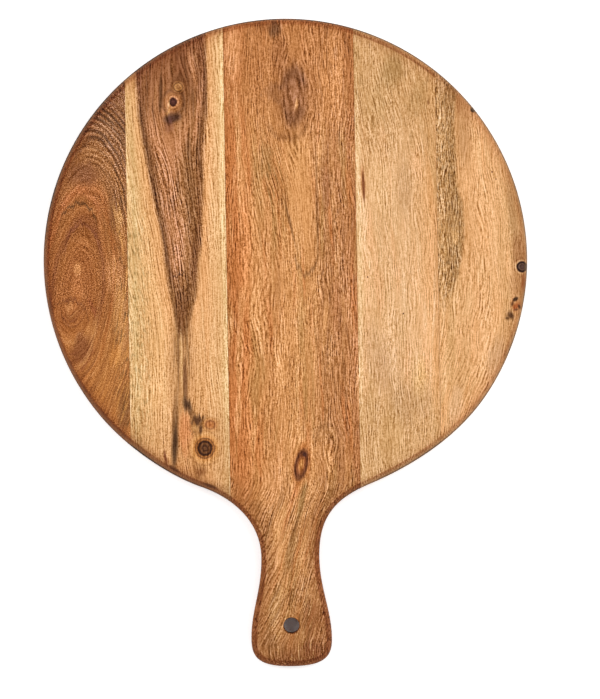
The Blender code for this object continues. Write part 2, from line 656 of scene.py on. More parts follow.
    def near_rim(self) -> Field:
        """A mask for painted shade that grows just inside the rim, on the handle's half of the board."""
        ring = self.graph.rise(self.graph.length(self.flat), *self.RIM_RING)
        return ring * self.graph.rise(self.y, *self.HANDLE_HALF)


@dataclass(frozen=True)
class RimSheenAndShade:
    """Painted light along the rounded rim, grey bands being painted sheen and dark bands painted shade:
    the slopes where it sets in and is complete, its colour and its cover.

    It shows from one place along the board to the far rim, and fades out on the upright rim.
    """

    start: float
    full: float
    colour: Colour
    cover: float
    above: float = -120.0


@dataclass(frozen=True)
class OiledSurface:
    """How the oiled and sanded wood takes the light, and the painted shade and sheen on its rims.

    Depths are measures of stain; on the rims and just inside them they also paint shade. The capitals say
    where along the board, how far from its middle or how high a zone begins and is complete, or how level
    the surface is there, from 1 on a face to 0 on a rim.
    """

    HANDLE = (-120.0, -165.0)
    HANDLE_SIDE = (10.0, -110.0)
    FAR_SIDE = (-40.0, 20.0)
    OFF_NECK_ALONG = (-130.0, -100.0)
    OFF_NECK_ACROSS = (36.0, 60.0)
    RIM_LEVEL = (0.96, 0.9)
    HANDLE_RIM_LEVEL = (-0.06, -0.07)
    CREASE_LEVEL = (0.7, 0.87)
    END_GRAIN = (0.45, 0.95)
    UPPER_EDGE = (9.6, 12.2)
    RIM_LIGHT_CLOUDS = (-0.9, 0.3)
    RIM_LIGHT_LEAST = 0.7
    RIM_LIGHT_FADE = 45.0
    RIM_CLOUD = 9.0
    CREASE_CLOUD = 14.0
    CREASE_SPREAD = 0.7
    RIM_LIGHT_CLOUD = 20.0
    roughness: float = 0.55
    roughness_spread: float = 0.04
    specular: float = 0.06
    stain: Colour = (0.478, 0.368, 0.22)
    rim_stain_and_shade: Colour = (0.527, 0.368, 0.295)
    rim_depth: float = 0.45
    rim_spread: float = 0.12
    handle_side_depth: float = 0.7
    crease_depth: float = 0.35
    end_grain_depth: float = 0.1
    rim_shade_depth: float = 0.22
    rim_shade_ring: tuple[float, float] = (141.0, 150.0)
    lip_depth: float = 0.45
    lip_ring: tuple[float, float] = (148.2, 149.1)
    # Painted light on the rim: a grey painted sheen on the rounding, then dark painted shade on its steep
    # part.
    rim_sheen_and_shade: tuple[RimSheenAndShade, ...] = (
        RimSheenAndShade(0.93, 0.7, shade(140, 108, 82), 0.4),
        RimSheenAndShade(0.72, 0.54, shade(40, 30, 23), 0.95),
    )
    relief: float = 0.00006
    relief_strength: float = 0.35

    def finish(self, canvas: Canvas, material: bpy.types.Material, grain: Field) -> None:
        """Turns what was painted into the material's surface.

        Args:
            canvas: the painted wood.
            material: the material whose nodes the canvas holds.
            grain: how deeply the grain is stained.
        """
        graph = canvas.graph
        shader = material.node_tree.nodes["Principled BSDF"]
        geometry = graph.add("ShaderNodeNewGeometry")
        _, facing_along, facing_up = graph.split(geometry.outputs["Normal"])
        level = abs(facing_up)
        on_handle = graph.rise(canvas.y, *self.HANDLE)
        bounds = zip(self.HANDLE_RIM_LEVEL, self.RIM_LEVEL)
        rim = graph.rise(level, *(on_handle * less + bound for less, bound in bounds))
        # Painted shade along the crease where the rounding leaves the flat face.
        crease = rim * graph.rise(level, *self.CREASE_LEVEL)
        ends = graph.rise(abs(facing_along), *self.END_GRAIN)
        # Painted shade on the rounded rim, stronger towards the handle and uneven in clouds.
        towards_handle = graph.rise(canvas.y, *self.HANDLE_SIDE) * self.handle_side_depth + 1.0
        uneven = canvas.cloud(self.RIM_CLOUD, self.RIM_CLOUD) * self.rim_spread
        depth = rim * (towards_handle * self.rim_depth + uneven)
        from_middle = graph.length(canvas.flat)
        # Painted shade on the face just inside the rim, kept off the neck.
        rim_shade = graph.rise(from_middle, *self.rim_shade_ring) * (1.0 - rim)
        # Painted shade: a thin dark ring on the far side where the face meets the rounding.
        lip = graph.rise(from_middle, *self.lip_ring) * (1.0 - rim) * graph.rise(canvas.y, *self.FAR_SIDE)
        above_neck = graph.rise(canvas.y, *self.OFF_NECK_ALONG)
        beside_neck = graph.rise(abs(canvas.x), *self.OFF_NECK_ACROSS)
        off_neck = graph.math("MAXIMUM", above_neck, beside_neck)
        broken = canvas.cloud(self.CREASE_CLOUD, self.CREASE_CLOUD) * self.CREASE_SPREAD + 1.0
        depth = depth + crease * broken * self.crease_depth + ends * self.end_grain_depth
        depth = depth + rim_shade * off_neck * self.rim_shade_depth + lip * self.lip_depth
        wood = graph.deepen(canvas.colour, self.stain, grain)
        # Lays the painted shade of the rims, together with the darker oil of the end grain, over the
        # wood.
        wood = graph.deepen(wood, self.rim_stain_and_shade, depth)
        # Painted sheen and painted shade laid on the upper rounded rim, in patchy bands.
        upper_edge = graph.rise(canvas.z, *self.UPPER_EDGE)
        clouds = graph.rise(canvas.cloud(self.RIM_LIGHT_CLOUD, self.RIM_LIGHT_CLOUD), *self.RIM_LIGHT_CLOUDS)
        patchy = clouds * (1.0 - self.RIM_LIGHT_LEAST) + self.RIM_LIGHT_LEAST
        for rim_sheen_and_shade in self.rim_sheen_and_shade:
            zone = graph.rise(level, rim_sheen_and_shade.start, rim_sheen_and_shade.full) * upper_edge * patchy
            zone = zone * graph.rise(canvas.y, rim_sheen_and_shade.above - self.RIM_LIGHT_FADE, rim_sheen_and_shade.above)
            wood = graph.mix(zone * rim_sheen_and_shade.cover, wood, rim_sheen_and_shade.colour)
        graph.feed(shader.inputs["Base Color"], wood)
        graph.feed(shader.inputs["Roughness"], grain * self.roughness_spread + self.roughness)
        shader.inputs["Specular IOR Level"].default_value = self.specular
        bump = graph.add("ShaderNodeBump")
        graph.feed(bump.inputs["Height"], -grain)
        graph.feed(bump.inputs["Strength"], self.relief_strength)
        graph.feed(bump.inputs["Distance"], self.relief)
        graph.feed(shader.inputs["Normal"], bump.outputs["Normal"])


@dataclass(frozen=True)
class Fibres:
    """The fine grain that all staves share. The first six fields say how strongly a kind of mark shows.

    The capitals are sizes of clouds in millimetres, and streaks to the millimetre across and along.
    """

    PATCH = (10.0, 32.0)
    CURL = (12.0, 26.0)
    UNEVEN_ENDS = (0.9, 18.0)
    END_REACH = 4.0
    LEAST_ROUGH = 0.3
    STREAK = (0.42, 0.03)
    STREAK_SHIFT = 31.0
    VEIN = (0.5, 0.013)
    VEIN_SHIFT = 41.0
    VEIN_EDGE = (0.45, 0.95)
    BAND = (0.12, 0.011)
    BAND_SHIFT = 57.0
    thread: float = 1.0
    tick: float = 0.85
    grit: float = 0.75
    streak: float = 0.2
    vein: float = 0.25
    band: float = 0.12
    thread_fine: float = 1.3
    thread_length: float = 8.5
    tick_fine: float = 1.15
    tick_length: float = 1.9
    grit_fine: float = 1.2
    pale_side: float = 0.63
    curl: float = 1.8
    patchy: float = 0.4
    skew: float = 0.15

    def threads(self, canvas: Canvas, fine: float, length: float) -> Field:
        """Fine lines along the grain, each with a paler line beside it.

        Args:
            canvas: the wood that is painted.
            fine: how many there are to the millimetre.
            length: how long they are, in millimetres.

        Returns:
            The lines, around 0 and darker where they are higher.
        """
        dark, pale = (
            canvas.streaks(fine, 1.0 / length, detail=0.0, shift=length, aside=aside)
            for aside in (0.0, self.pale_side)
        )
        return dark - pale

    def grow(self, canvas: Canvas, contrast: Value) -> Field:
        """Works out how deeply the grain is stained.

        Args:
            canvas: the wood that is painted.
            contrast: how strongly the grain shows, all over or from place to place.

        Returns:
            The depth of the stain, around 0.
        """
        graph = canvas.graph
        patch = canvas.cloud(*self.PATCH)
        canvas.waver(*self.CURL, self.curl)
        canvas.along = canvas.y + canvas.cloud(*self.UNEVEN_ENDS) * self.END_REACH
        threads = self.threads(canvas, self.thread_fine, self.thread_length) * self.thread
        ticks = self.threads(canvas, self.tick_fine, self.tick_length) * self.tick
        fine = self.grit_fine
        specks = graph.join(canvas.x * fine, canvas.y * fine, canvas.z * fine + canvas.NOISE_LEVEL)
        grit = graph.noise(specks, detail=0.0) * self.grit
        rough = graph.math("MAXIMUM", patch * self.patchy + 1.0, self.LEAST_ROUGH)
        streak = canvas.streaks(*self.STREAK, detail=2.0, shift=self.STREAK_SHIFT) * self.streak
        vein = canvas.streaks(*self.VEIN, detail=1.0, shift=self.VEIN_SHIFT)
        vein = graph.rise(vein, *self.VEIN_EDGE) * self.vein
        band = canvas.streaks(*self.BAND, detail=1.0, shift=self.BAND_SHIFT) * self.band
        grain = (threads + ticks + grit) * rough + streak + vein
        return (grain + grain * grain * self.skew) * contrast + band


class Wood:
    """One stave's wood. Each kind paints its own colours and figure on the canvas."""

    name = "wood"
    seed = 0.0
    fibres = Fibres()
    surface = OiledSurface()

    def make(self) -> bpy.types.Material:
        """Makes the material.

        Returns:
            The finished material.
        """
        material = bpy.data.materials.new(self.name)
        material.use_nodes = True
        canvas = Canvas(material.node_tree, self.seed)
        contrast = self.paint(canvas)
        self.surface.finish(canvas, material, self.fibres.grow(canvas, contrast))
        return material

    def paint(self, canvas: Canvas) -> Value:
        """Paints the colours and the figure, and says how strongly the grain shows."""
        raise NotImplementedError


class RussetHeartwood(Wood):
    """The left outer stave: red-brown heartwood, cut so that its rings close into tall ovals."""

    name = "russet_heartwood"
    seed = 11.0
    fibres = Fibres(
        thread=0.35, tick=0.35, grit=1.7, streak=0.1, vein=0.15, grit_fine=1.7,
        thread_length=13.0, tick_length=2.4, curl=0.4, patchy=0.2,
    )
    surface = OiledSurface(
        rim_depth=0.44,
        crease_depth=0.45,
        rim_shade_depth=0.35,
        lip_depth=0.85,
        # Painted light on the rim: a grey painted sheen, dark painted shade on the far side, and softer
        # painted shade all round.
        rim_sheen_and_shade=(
            RimSheenAndShade(0.97, 0.75, shade(132, 100, 76), 0.45),
            RimSheenAndShade(0.72, 0.54, shade(24, 19, 15), 0.96, above=40.0),
            RimSheenAndShade(0.66, 0.5, shade(72, 55, 43), 0.4),
        ),
    )
    heart = Spot(-130.9, -16.5, 1.0, 2.9, 6.2)
    swirl = Spot(-136.1, -30.5, 1.0, 1.5, 10.0)
    swirl_depth = 3.0
    swirl_blend = 5.0
    line_pitch = 4.4
    line_wander = 2.0
    upper_slope = 0.35
    upper_corner = (-104.0, -84.0)
    rings: Stops = (
        (0.0, shade(176, 106, 54)), (4.0, shade(166, 99, 50)), (8.0, shade(162, 96, 48)),
        (12.0, shade(163, 98, 48)), (14.5, shade(154, 92, 46)), (15.8, shade(142, 82, 42)),
        (18.0, shade(170, 104, 53)), (20.0, shade(157, 96, 48)), (22.0, shade(170, 101, 51)),
        (25.0, shade(162, 101, 52)), (28.0, shade(154, 96, 49)), (31.0, shade(166, 105, 54)),
        (34.0, shade(149, 92, 48)), (38.0, shade(156, 100, 56)), (42.0, shade(142, 88, 50)),
        (46.0, shade(152, 99, 58)), (50.0, shade(138, 86, 51)), (56.0, shade(144, 94, 56)),
    )

    def paint(self, canvas: Canvas) -> Value:
        """Paints tall ovals with a small swirl below their middle.

        Args:
            canvas: the stave's canvas.

        Returns:
            How strongly the grain shows.
        """
        graph = canvas.graph
        oval = canvas.within(self.heart)
        swirl = canvas.within(self.swirl) + self.swirl_depth
        canvas.across = graph.math("SMOOTH_MIN", oval, swirl, self.swirl_blend)
        canvas.fourth = canvas.x
        canvas.waver(18.0, 30.0, 1.6)
        canvas.colour = graph.ramp(canvas.across, self.rings)
        canvas.tint(graph.rise(canvas.y, -20.0, -100.0) * 0.75, shade(204, 132, 68))
        canvas.tint(graph.rise(canvas.y, 40.0, 90.0) * 0.35, shade(136, 90, 54))
        canvas.stains(
            Stain(Spot(-126.0, 56.0, 14.0, 12.0), shade(128, 76, 44), 0.75),
            Stain(Spot(-106.0, 32.0, 6.5, 20.0), shade(130, 80, 42), 0.75),
            Stain(Spot(-108.0, -7.0, 7.5, 17.0), shade(206, 138, 84), 0.6),
            Stain(Spot(-102.0, 16.0, 1.6, 22.0), shade(196, 128, 66), 0.6),
            Stain(Spot(-104.5, -36.0, 6.0, 36.0), shade(210, 148, 88), 0.7),
            Stain(Spot(-131.0, -3.5, 3.4, 6.5), shade(214, 144, 84), 0.85),
            Stain(Spot(-136.5, -27.0, 3.4, 5.0, 10.0), shade(206, 136, 78), 0.8),
            Stain(Spot(-126.0, -60.0, 3.4, 14.0, 32.0), shade(136, 74, 38), 0.75),
            Stain(Spot(-121.5, -28.0, 2.5, 9.0, -25.0), shade(140, 72, 40), 0.6),
            Stain(Spot(-108.3, -58.0, 5.0, 12.0, 8.0), shade(208, 136, 68), 0.6),
            Stain(Spot(-146.5, 45.0, 3.2, 16.0, 18.0), shade(92, 54, 31), 0.75),
        )
        canvas.arcs(
            Arc(Spot(-129.5, 21.0, 14.0, 24.0, 4.0), 2.6, shade(180, 106, 58), 0.6),
            Arc(Spot(-130.4, 18.0, 12.5, 20.5, 4.0), 0.9, shade(78, 50, 27), 0.75),
            Arc(Spot(-128.6, -2.0, 12.0, 27.6, 3.0), 1.2, shade(118, 62, 38), 0.65),
            Arc(Spot(-138.0, -38.0, 13.0, 15.0, 20.0), 0.8, shade(104, 58, 32), 0.6),
            Arc(Spot(-136.4, -43.0, 7.0, 5.6), 0.5, shade(216, 162, 114), 0.6, upper=False),
            Arc(Spot(-121.0, 50.0, 15.0, 29.0, 8.0), 1.2, shade(104, 62, 34), 0.65),
            Arc(Spot(-136.1, -29.0, 5.0, 7.6, 10.0), 0.9, shade(118, 62, 32), 0.75),
            Arc(Spot(-136.1, -29.0, 5.5, 8.0, 10.0), 0.9, shade(118, 62, 32), 0.8, upper=False),
            Arc(Spot(-136.1, -29.0, 3.0, 4.6, 10.0), 0.7, shade(126, 70, 38), 0.6, upper=False),
            Arc(Spot(-135.0, -36.0, 7.5, 13.0, 10.0), 0.8, shade(194, 134, 84), 0.7, upper=False),
        )
        low = graph.rise(canvas.y, -10.0, -50.0)
        canvas.mottle(shade(132, 74, 36), low * 0.6, 2.6, 70.0, 0.1)
        canvas.mottle(shade(224, 154, 88), low * 0.5, 3.0, 60.0, 0.2)
        canvas.flecks(low * 0.6, shade(126, 70, 34), 1.0, 0.03, 0.2)
        canvas.flecks(low * 0.5, shade(226, 158, 94), 0.9, 0.035, 0.3)
        canvas.stains(
            Stain(Spot(-130.0, -53.0, 8.5, 15.0, 25.0), shade(134, 76, 40), 0.9),
            Stain(Spot(-102.5, -92.0, 6.5, 22.0, 8.0), shade(128, 80, 42), 0.85),
            Stain(Spot(-106.0, 33.0, 7.0, 18.0), shade(134, 82, 44), 0.5),
        )
        # Painted shade just inside the rim, on the handle's half of the board.
        canvas.tint(canvas.near_rim() * 0.45, shade(150, 90, 48))
        upper = graph.rise(canvas.x + canvas.y * self.upper_slope, *self.upper_corner)
        wander = canvas.cloud(14.0, 30.0) * self.line_wander
        lines = graph.math("SINE", canvas.across * self.line_pitch + wander)
        broken = graph.rise(canvas.streaks(0.3, 0.05, detail=2.0, shift=5.0), -0.5, 0.3)
        canvas.tint(graph.rise(lines, 0.0, 0.9) * broken * upper * 0.75, shade(80, 50, 28))
        canvas.tint(graph.rise(lines, -0.4, -1.0) * upper * 0.45, shade(190, 134, 84))
        canvas.flecks(upper * 0.5, shade(82, 52, 30), 1.15, 0.014, 0.15)
        margin = graph.rise(canvas.x, -114.0, -102.0) * graph.rise(canvas.y, 60.0, 30.0)
        canvas.flecks(margin * 0.6, shade(214, 148, 78), 0.8, 0.05, 0.15)
        canvas.flecks(margin * 0.7, shade(86, 58, 30), 1.2, 0.2, 0.3)
        return upper * 0.25 - low * 0.3 + 0.7


class HeartAndSapwood(Wood):
    """The left inner stave: a dark tongue of heartwood between two pale edges, with knots."""

    name = "heart_and_sapwood"
    seed = 23.0
    surface = OiledSurface(
        rim_depth=0.5,
        crease_depth=0.35,
        rim_shade_depth=0.35,
        # Painted light on the rim: a grey painted sheen, then dark painted shade on its steep part.
        rim_sheen_and_shade=(
            RimSheenAndShade(0.97, 0.75, shade(132, 100, 76), 0.45),
            RimSheenAndShade(0.72, 0.54, shade(24, 19, 15), 0.96),
        ),
    )
    fibres = Fibres(tick=0.6, grit=0.85, streak=0.25, thread_length=15.0, curl=1.6, skew=0.2)
    tongue_middle = -78.0
    follow_side = (-36.0, -90.0)
    follow = 0.7
    tongue_left = (
        (-56.0, -68.0), (-47.0, -68.4), (-33.0, -70.2), (-17.4, -73.2), (-4.8, -75.3), (14.1, -77.2),
        (39.4, -82.0), (64.6, -86.4), (90.0, -90.4), (118.3, -92.4), (140.0, -93.5),
    )
    tongue_right = (
        (-56.0, -63.4), (-47.0, -62.8), (-41.0, -62.0), (-28.0, -58.6), (-17.7, -56.2), (-2.0, -55.1),
        (10.6, -53.0), (26.3, -52.1), (64.1, -50.8), (101.8, -48.3), (140.0, -48.3),
    )
    pale: Stops = (
        (-99.3, shade(240, 198, 142)), (-97.8, shade(230, 184, 126)), (-95.0, shade(220, 179, 121)),
        (-92.0, shade(228, 180, 122)), (-86.0, shade(235, 181, 122)), (-76.0, shade(234, 178, 119)),
        (-60.0, shade(224, 168, 112)), (-50.0, shade(228, 168, 110)), (-45.0, shade(230, 176, 120)),
        (-41.0, shade(226, 175, 118)), (-38.5, shade(238, 195, 138)), (-37.2, shade(244, 205, 150)),
    )
    dark: Stops = (
        (0.0, shade(140, 90, 51)), (0.04, shade(108, 65, 35)), (0.09, shade(140, 90, 51)),
        (0.20, shade(186, 125, 80)), (0.40, shade(194, 131, 85)), (0.52, shade(186, 127, 80)),
        (0.64, shade(164, 109, 64)), (0.76, shade(164, 109, 64)), (0.85, shade(156, 102, 58)),
        (0.93, shade(132, 82, 44)), (1.0, shade(152, 99, 55)),
    )
    knot_rings = (
        (0.0, shade(104, 62, 48), 1.0), (0.20, shade(84, 46, 36), 1.0),
        (0.46, shade(58, 29, 23), 1.0), (0.56, shade(120, 70, 46), 1.0),
        (0.66, shade(222, 156, 108), 0.95), (0.80, shade(208, 142, 92), 0.9),
        (0.94, shade(156, 97, 56), 0.85), (1.10, shade(180, 118, 68), 0.75),
        (1.35, shade(148, 93, 55), 0.6), (1.58, shade(106, 65, 37), 0.65),
        (1.90, shade(130, 84, 48), 0.0),
    )
    pale_knot_rings = (
        (0.0, shade(178, 120, 68), 0.95), (0.24, shade(146, 92, 50), 0.95),
        (0.46, shade(196, 138, 82), 0.95), (0.62, shade(184, 126, 72), 0.95),
        (0.78, shade(104, 62, 33), 0.95), (0.98, shade(168, 110, 62), 0.8),
        (1.22, shade(124, 74, 40), 0.7), (1.60, shade(132, 80, 46), 0.0),
    )
    low_knot_rings = (
        (0.0, shade(112, 72, 42), 1.0), (0.14, shade(104, 64, 38), 1.0),
        (0.25, shade(60, 33, 20), 1.0), (0.40, shade(124, 78, 44), 1.0),
        (0.54, shade(56, 29, 18), 1.0), (0.66, shade(62, 33, 20), 1.0),
        (0.76, shade(178, 112, 56), 1.0), (0.88, shade(106, 60, 30), 0.9),
        (0.97, shade(208, 140, 76), 0.95), (1.24, shade(220, 160, 98), 0.8),
        (1.42, shade(214, 154, 94), 0.5), (1.52, shade(168, 112, 62), 0.55),
        (1.62, shade(216, 158, 98), 0.3), (2.00, shade(222, 168, 110), 0.0),
    )
    red_knot_rings = (
        (0.0, shade(150, 78, 36), 1.0), (0.40, shade(196, 122, 64), 0.9),
        (0.72, shade(140, 76, 38), 0.9), (1.05, shade(214, 148, 86), 0.7),
        (1.25, shade(176, 116, 62), 0.5), (1.70, shade(224, 166, 106), 0.0),
    )

    def paint(self, canvas: Canvas) -> Value:
        """Paints the pale edges, the dark tongue between them, and the knots above and below.

        Args:
            canvas: the stave's canvas.

        Returns:
            How strongly the grain shows.
        """
        graph = canvas.graph
        canvas.swerve(Spot(-68.5, 101.0, 14.0, 28.0), 0.55)
        canvas.swerve(Spot(-54.0, -110.0, 16.0, 34.0), 0.6)
        canvas.shear(Spot(-65.0, 30.0, 30.0, 50.0, -5.0))
        canvas.waver(16.0, 45.0, 1.4)
        feathered, _, _ = graph.split(canvas.ragged)
        left = graph.curve(canvas.y, self.tongue_left)
        right = graph.curve(canvas.y, self.tongue_right)
        beside = graph.rise(canvas.x, *self.follow_side) * self.follow
        canvas.across = canvas.across - (left - self.tongue_middle) * beside
        canvas.colour = graph.ramp(canvas.x + canvas.cloud(10.0, 50.0), self.pale)
        canvas.mottle(shade(238, 190, 134), 0.5, 3.5, 60.0)
        canvas.mottle(shade(206, 148, 92), 0.4, 3.0, 50.0, 0.1)
        olive = graph.rise(canvas.x, -80.0, -93.0) * graph.rise(canvas.y, 60.0, 10.0)
        canvas.flecks(olive * 0.7, shade(160, 126, 74), 0.9, 0.2, 0.15)
        canvas.flecks(olive * 0.5, shade(240, 206, 152), 0.8, 0.12, 0.35)
        halo = graph.rise(feathered - left, -11.0, 0.0) * graph.rise(right - feathered, -9.0, 0.0)
        canvas.tint(halo * 0.6, shade(224, 158, 100))
        canvas.tint(graph.rise(canvas.y, -82.0, -112.0) * 0.35, shade(182, 122, 70))
        inside = (feathered - left) / (right - left)
        heart = graph.ramp(inside, self.dark)
        heart = graph.mix(graph.rise(canvas.y, 80.0, 118.0) * 0.7, heart, shade(138, 83, 49))
        heart = graph.mix(graph.rise(canvas.y, 2.0, -24.0) * 0.8, heart, shade(131, 83, 40))
        edges = graph.rise(feathered - left, -2.2, 1.4) * graph.rise(right - feathered, -2.2, 1.4)
        tip = graph.rise(canvas.y, -52.0, -38.0)
        canvas.stains(
            Stain(Spot(-65.6, -40.0, 9.0, 30.0), shade(172, 120, 72), 0.75, 0.8),
            Stain(Spot(-67.5, -66.0, 12.5, 42.0, 1.0), shade(186, 134, 83), 0.8, 0.85),
        )
        tail = canvas.inside(Spot(-66.5, -66.0, 8.0, 46.0), 0.8)
        canvas.flecks(tail * 0.7, shade(122, 80, 44), 0.75, 0.03, 0.15)
        canvas.flecks(tail * 0.6, shade(230, 182, 124), 0.8, 0.035, 0.3)
        inner = edges * tip
        canvas.tint(inner, heart)
        canvas.flecks(inner * 0.5, shade(96, 58, 32), 0.55, 0.04, 0.25)
        canvas.flecks(inner * 0.3, shade(192, 134, 82), 0.6, 0.05, 0.4)
        canvas.stains(Stain(Spot(-64.0, 126.0, 9.0, 20.0), shade(134, 79, 46), 0.6, 0.9))
        canvas.stain_all(
            shade(194, 131, 86),
            (
                (Spot(-56.4, 122.0, 2.3, 18.0, -12.0), 0.85),
                (Spot(-53.9, 92.0, 2.4, 30.0, 9.0), 0.85),
                (Spot(-70.6, 94.4, 5.6, 5.0, 30.0), 0.8),
                (Spot(-71.5, 78.0, 6.8, 14.0, -6.0), 0.9),
                (Spot(-70.0, 62.0, 5.0, 16.0, -6.0), 0.6),
                (Spot(-67.0, 16.0, 5.0, 22.0), 0.65),
            ),
        )
        canvas.stain_all(
            shade(114, 68, 37),
            (
                (Spot(-64.6, 115.6, 5.0, 5.0), 0.8),
                (Spot(-60.4, 118.0, 1.3, 20.0, -9.0), 0.8),
                (Spot(-48.6, 112.0, 1.6, 32.0), 0.8),
                (Spot(-62.4, 102.0, 2.0, 11.0, -6.0), 0.75),
                (Spot(-57.6, 2.0, 3.2, 28.0, 4.0), 0.6),
                (Spot(-65.4, -26.0, 6.0, 16.0), 0.6),
                (Spot(-66.6, -39.0, 3.6, 14.0), 0.6),
                (Spot(-64.2, -76.0, 2.4, 22.0, -1.0), 0.75),
            ),
        )
        canvas.stains(
            Stain(Spot(-76.8, 105.0, 1.8, 15.0, 4.0), shade(98, 60, 33), 0.9),
            Stain(Spot(-59.0, 44.0, 5.0, 40.0, -2.0), shade(134, 88, 50), 0.6),
            Stain(Spot(-71.6, 85.5, 4.6, 6.0, 14.0), shade(146, 90, 60), 0.75),
            Stain(Spot(-69.4, 91.0, 8.4, 4.6, -12.0), shade(72, 43, 34), 0.92, 0.7, ragged=False),
            Stain(Spot(-71.4, 88.6, 3.0, 3.6, 20.0), shade(92, 54, 42), 0.7, 0.8, ragged=False),
            Stain(Spot(-68.4, -60.0, 1.0, 30.0, 1.0), shade(134, 90, 52), 0.75),
            Stain(Spot(-66.6, -62.0, 1.0, 26.0), shade(226, 178, 120), 0.7),
            Stain(Spot(-62.2, -58.0, 0.9, 26.0, -2.0), shade(144, 100, 58), 0.7),
            Stain(Spot(-63.2, -89.8, 4.2, 8.0, -12.0), shade(66, 40, 24), 0.92),
            Stain(Spot(-71.2, -102.0, 3.2, 30.0, 3.0), shade(142, 96, 56), 0.8),
            Stain(Spot(-71.4, -115.0, 3.2, 24.0, 3.0), shade(70, 44, 25), 0.95, 0.8),
            Stain(Spot(-64.2, -109.0, 6.0, 18.0, -4.0), shade(214, 140, 86), 0.95, 0.5),
            Stain(Spot(-56.8, -101.6, 8.0, 7.0, -30.0), shade(176, 120, 70), 0.85),
            Stain(Spot(-60.4, -95.4, 3.0, 7.0, -32.0), shade(146, 98, 58), 0.7),
            Stain(Spot(-56.8, -99.6, 6.6, 4.0, -15.0), shade(88, 54, 32), 0.95),
            Stain(Spot(-59.0, -104.6, 3.2, 3.0), shade(204, 150, 92), 0.7, ragged=False),
            Stain(Spot(-58.5, -125.0, 8.0, 3.2, -70.0), shade(172, 110, 60), 0.75),
            Stain(Spot(-55.5, -131.4, 6.0, 5.0), shade(146, 88, 44), 0.85),
            Stain(Spot(-77.4, -123.0, 1.5, 7.0, -10.0), shade(122, 62, 32), 0.95),
        )
        canvas.arcs(Arc(Spot(-71.4, 112.0, 14.0, 43.0, 2.0), 4.6, shade(204, 140, 95), 0.75, upper=False))
        canvas.stains(Stain(Spot(-54.6, -119.0, 10.0, 9.6), shade(218, 152, 96), 0.9, 0.4, ragged=False))
        canvas.arcs(
            Arc(Spot(-53.4, -118.4, 9.0, 8.6), 1.0, shade(140, 86, 46), 0.75, upper=False),
            Arc(Spot(-59.0, -103.6, 4.0, 4.6), 0.8, shade(112, 70, 40), 0.7, upper=False),
            Arc(Spot(-67.7, -3.5, 4.2, 4.6), 0.8, shade(80, 44, 27), 0.85, upper=False),
        )
        canvas.knots(
            Knot(Spot(-69.1, 100.9, 4.4, 4.9, 10.0), self.knot_rings),
            Knot(Spot(-65.7, 110.2, 3.6, 3.4, 20.0), self.pale_knot_rings),
            Knot(Spot(-49.0, -102.8, 4.1, 3.7), self.red_knot_rings),
            Knot(Spot(-52.6, -117.4, 6.8, 7.2), self.low_knot_rings),
        )
        canvas.stains(
            Stain(Spot(-71.9, 99.4, 0.9, 2.2, 20.0), shade(232, 180, 126), 0.8, 0.7),
            Stain(Spot(-71.6, 96.0, 3.2, 1.6, -25.0), shade(206, 146, 84), 0.7, 0.7),
            Stain(Spot(-54.9, -105.4, 1.7, 5.6), shade(84, 50, 29), 0.95),
            Stain(Spot(-49.8, -141.2, 6.8, 1.7, 20.0), shade(62, 31, 23), 0.95, 0.6, ragged=False),
            Stain(Spot(-72.1, -130.0, 5.8, 1.5, 33.0), shade(70, 37, 26), 0.9, 0.6, ragged=False),
        )
        # Painted shade just inside the rim, on the handle's half of the board.
        canvas.tint(canvas.near_rim() * 0.45, shade(160, 108, 64))
        smooth = canvas.inside(Spot(-70.0, 106.0, 26.0, 60.0), 0.6) * 0.44
        smooth = smooth + graph.rise(canvas.y, 10.0, -30.0) * 0.15
        smooth = smooth + canvas.inside(Spot(-71.5, 78.0, 7.0, 15.0, -6.0), 0.8) * 0.16
        return inner * (0.52 - smooth) + graph.rise(canvas.y, -20.0, -90.0) * 0.05 + 0.29


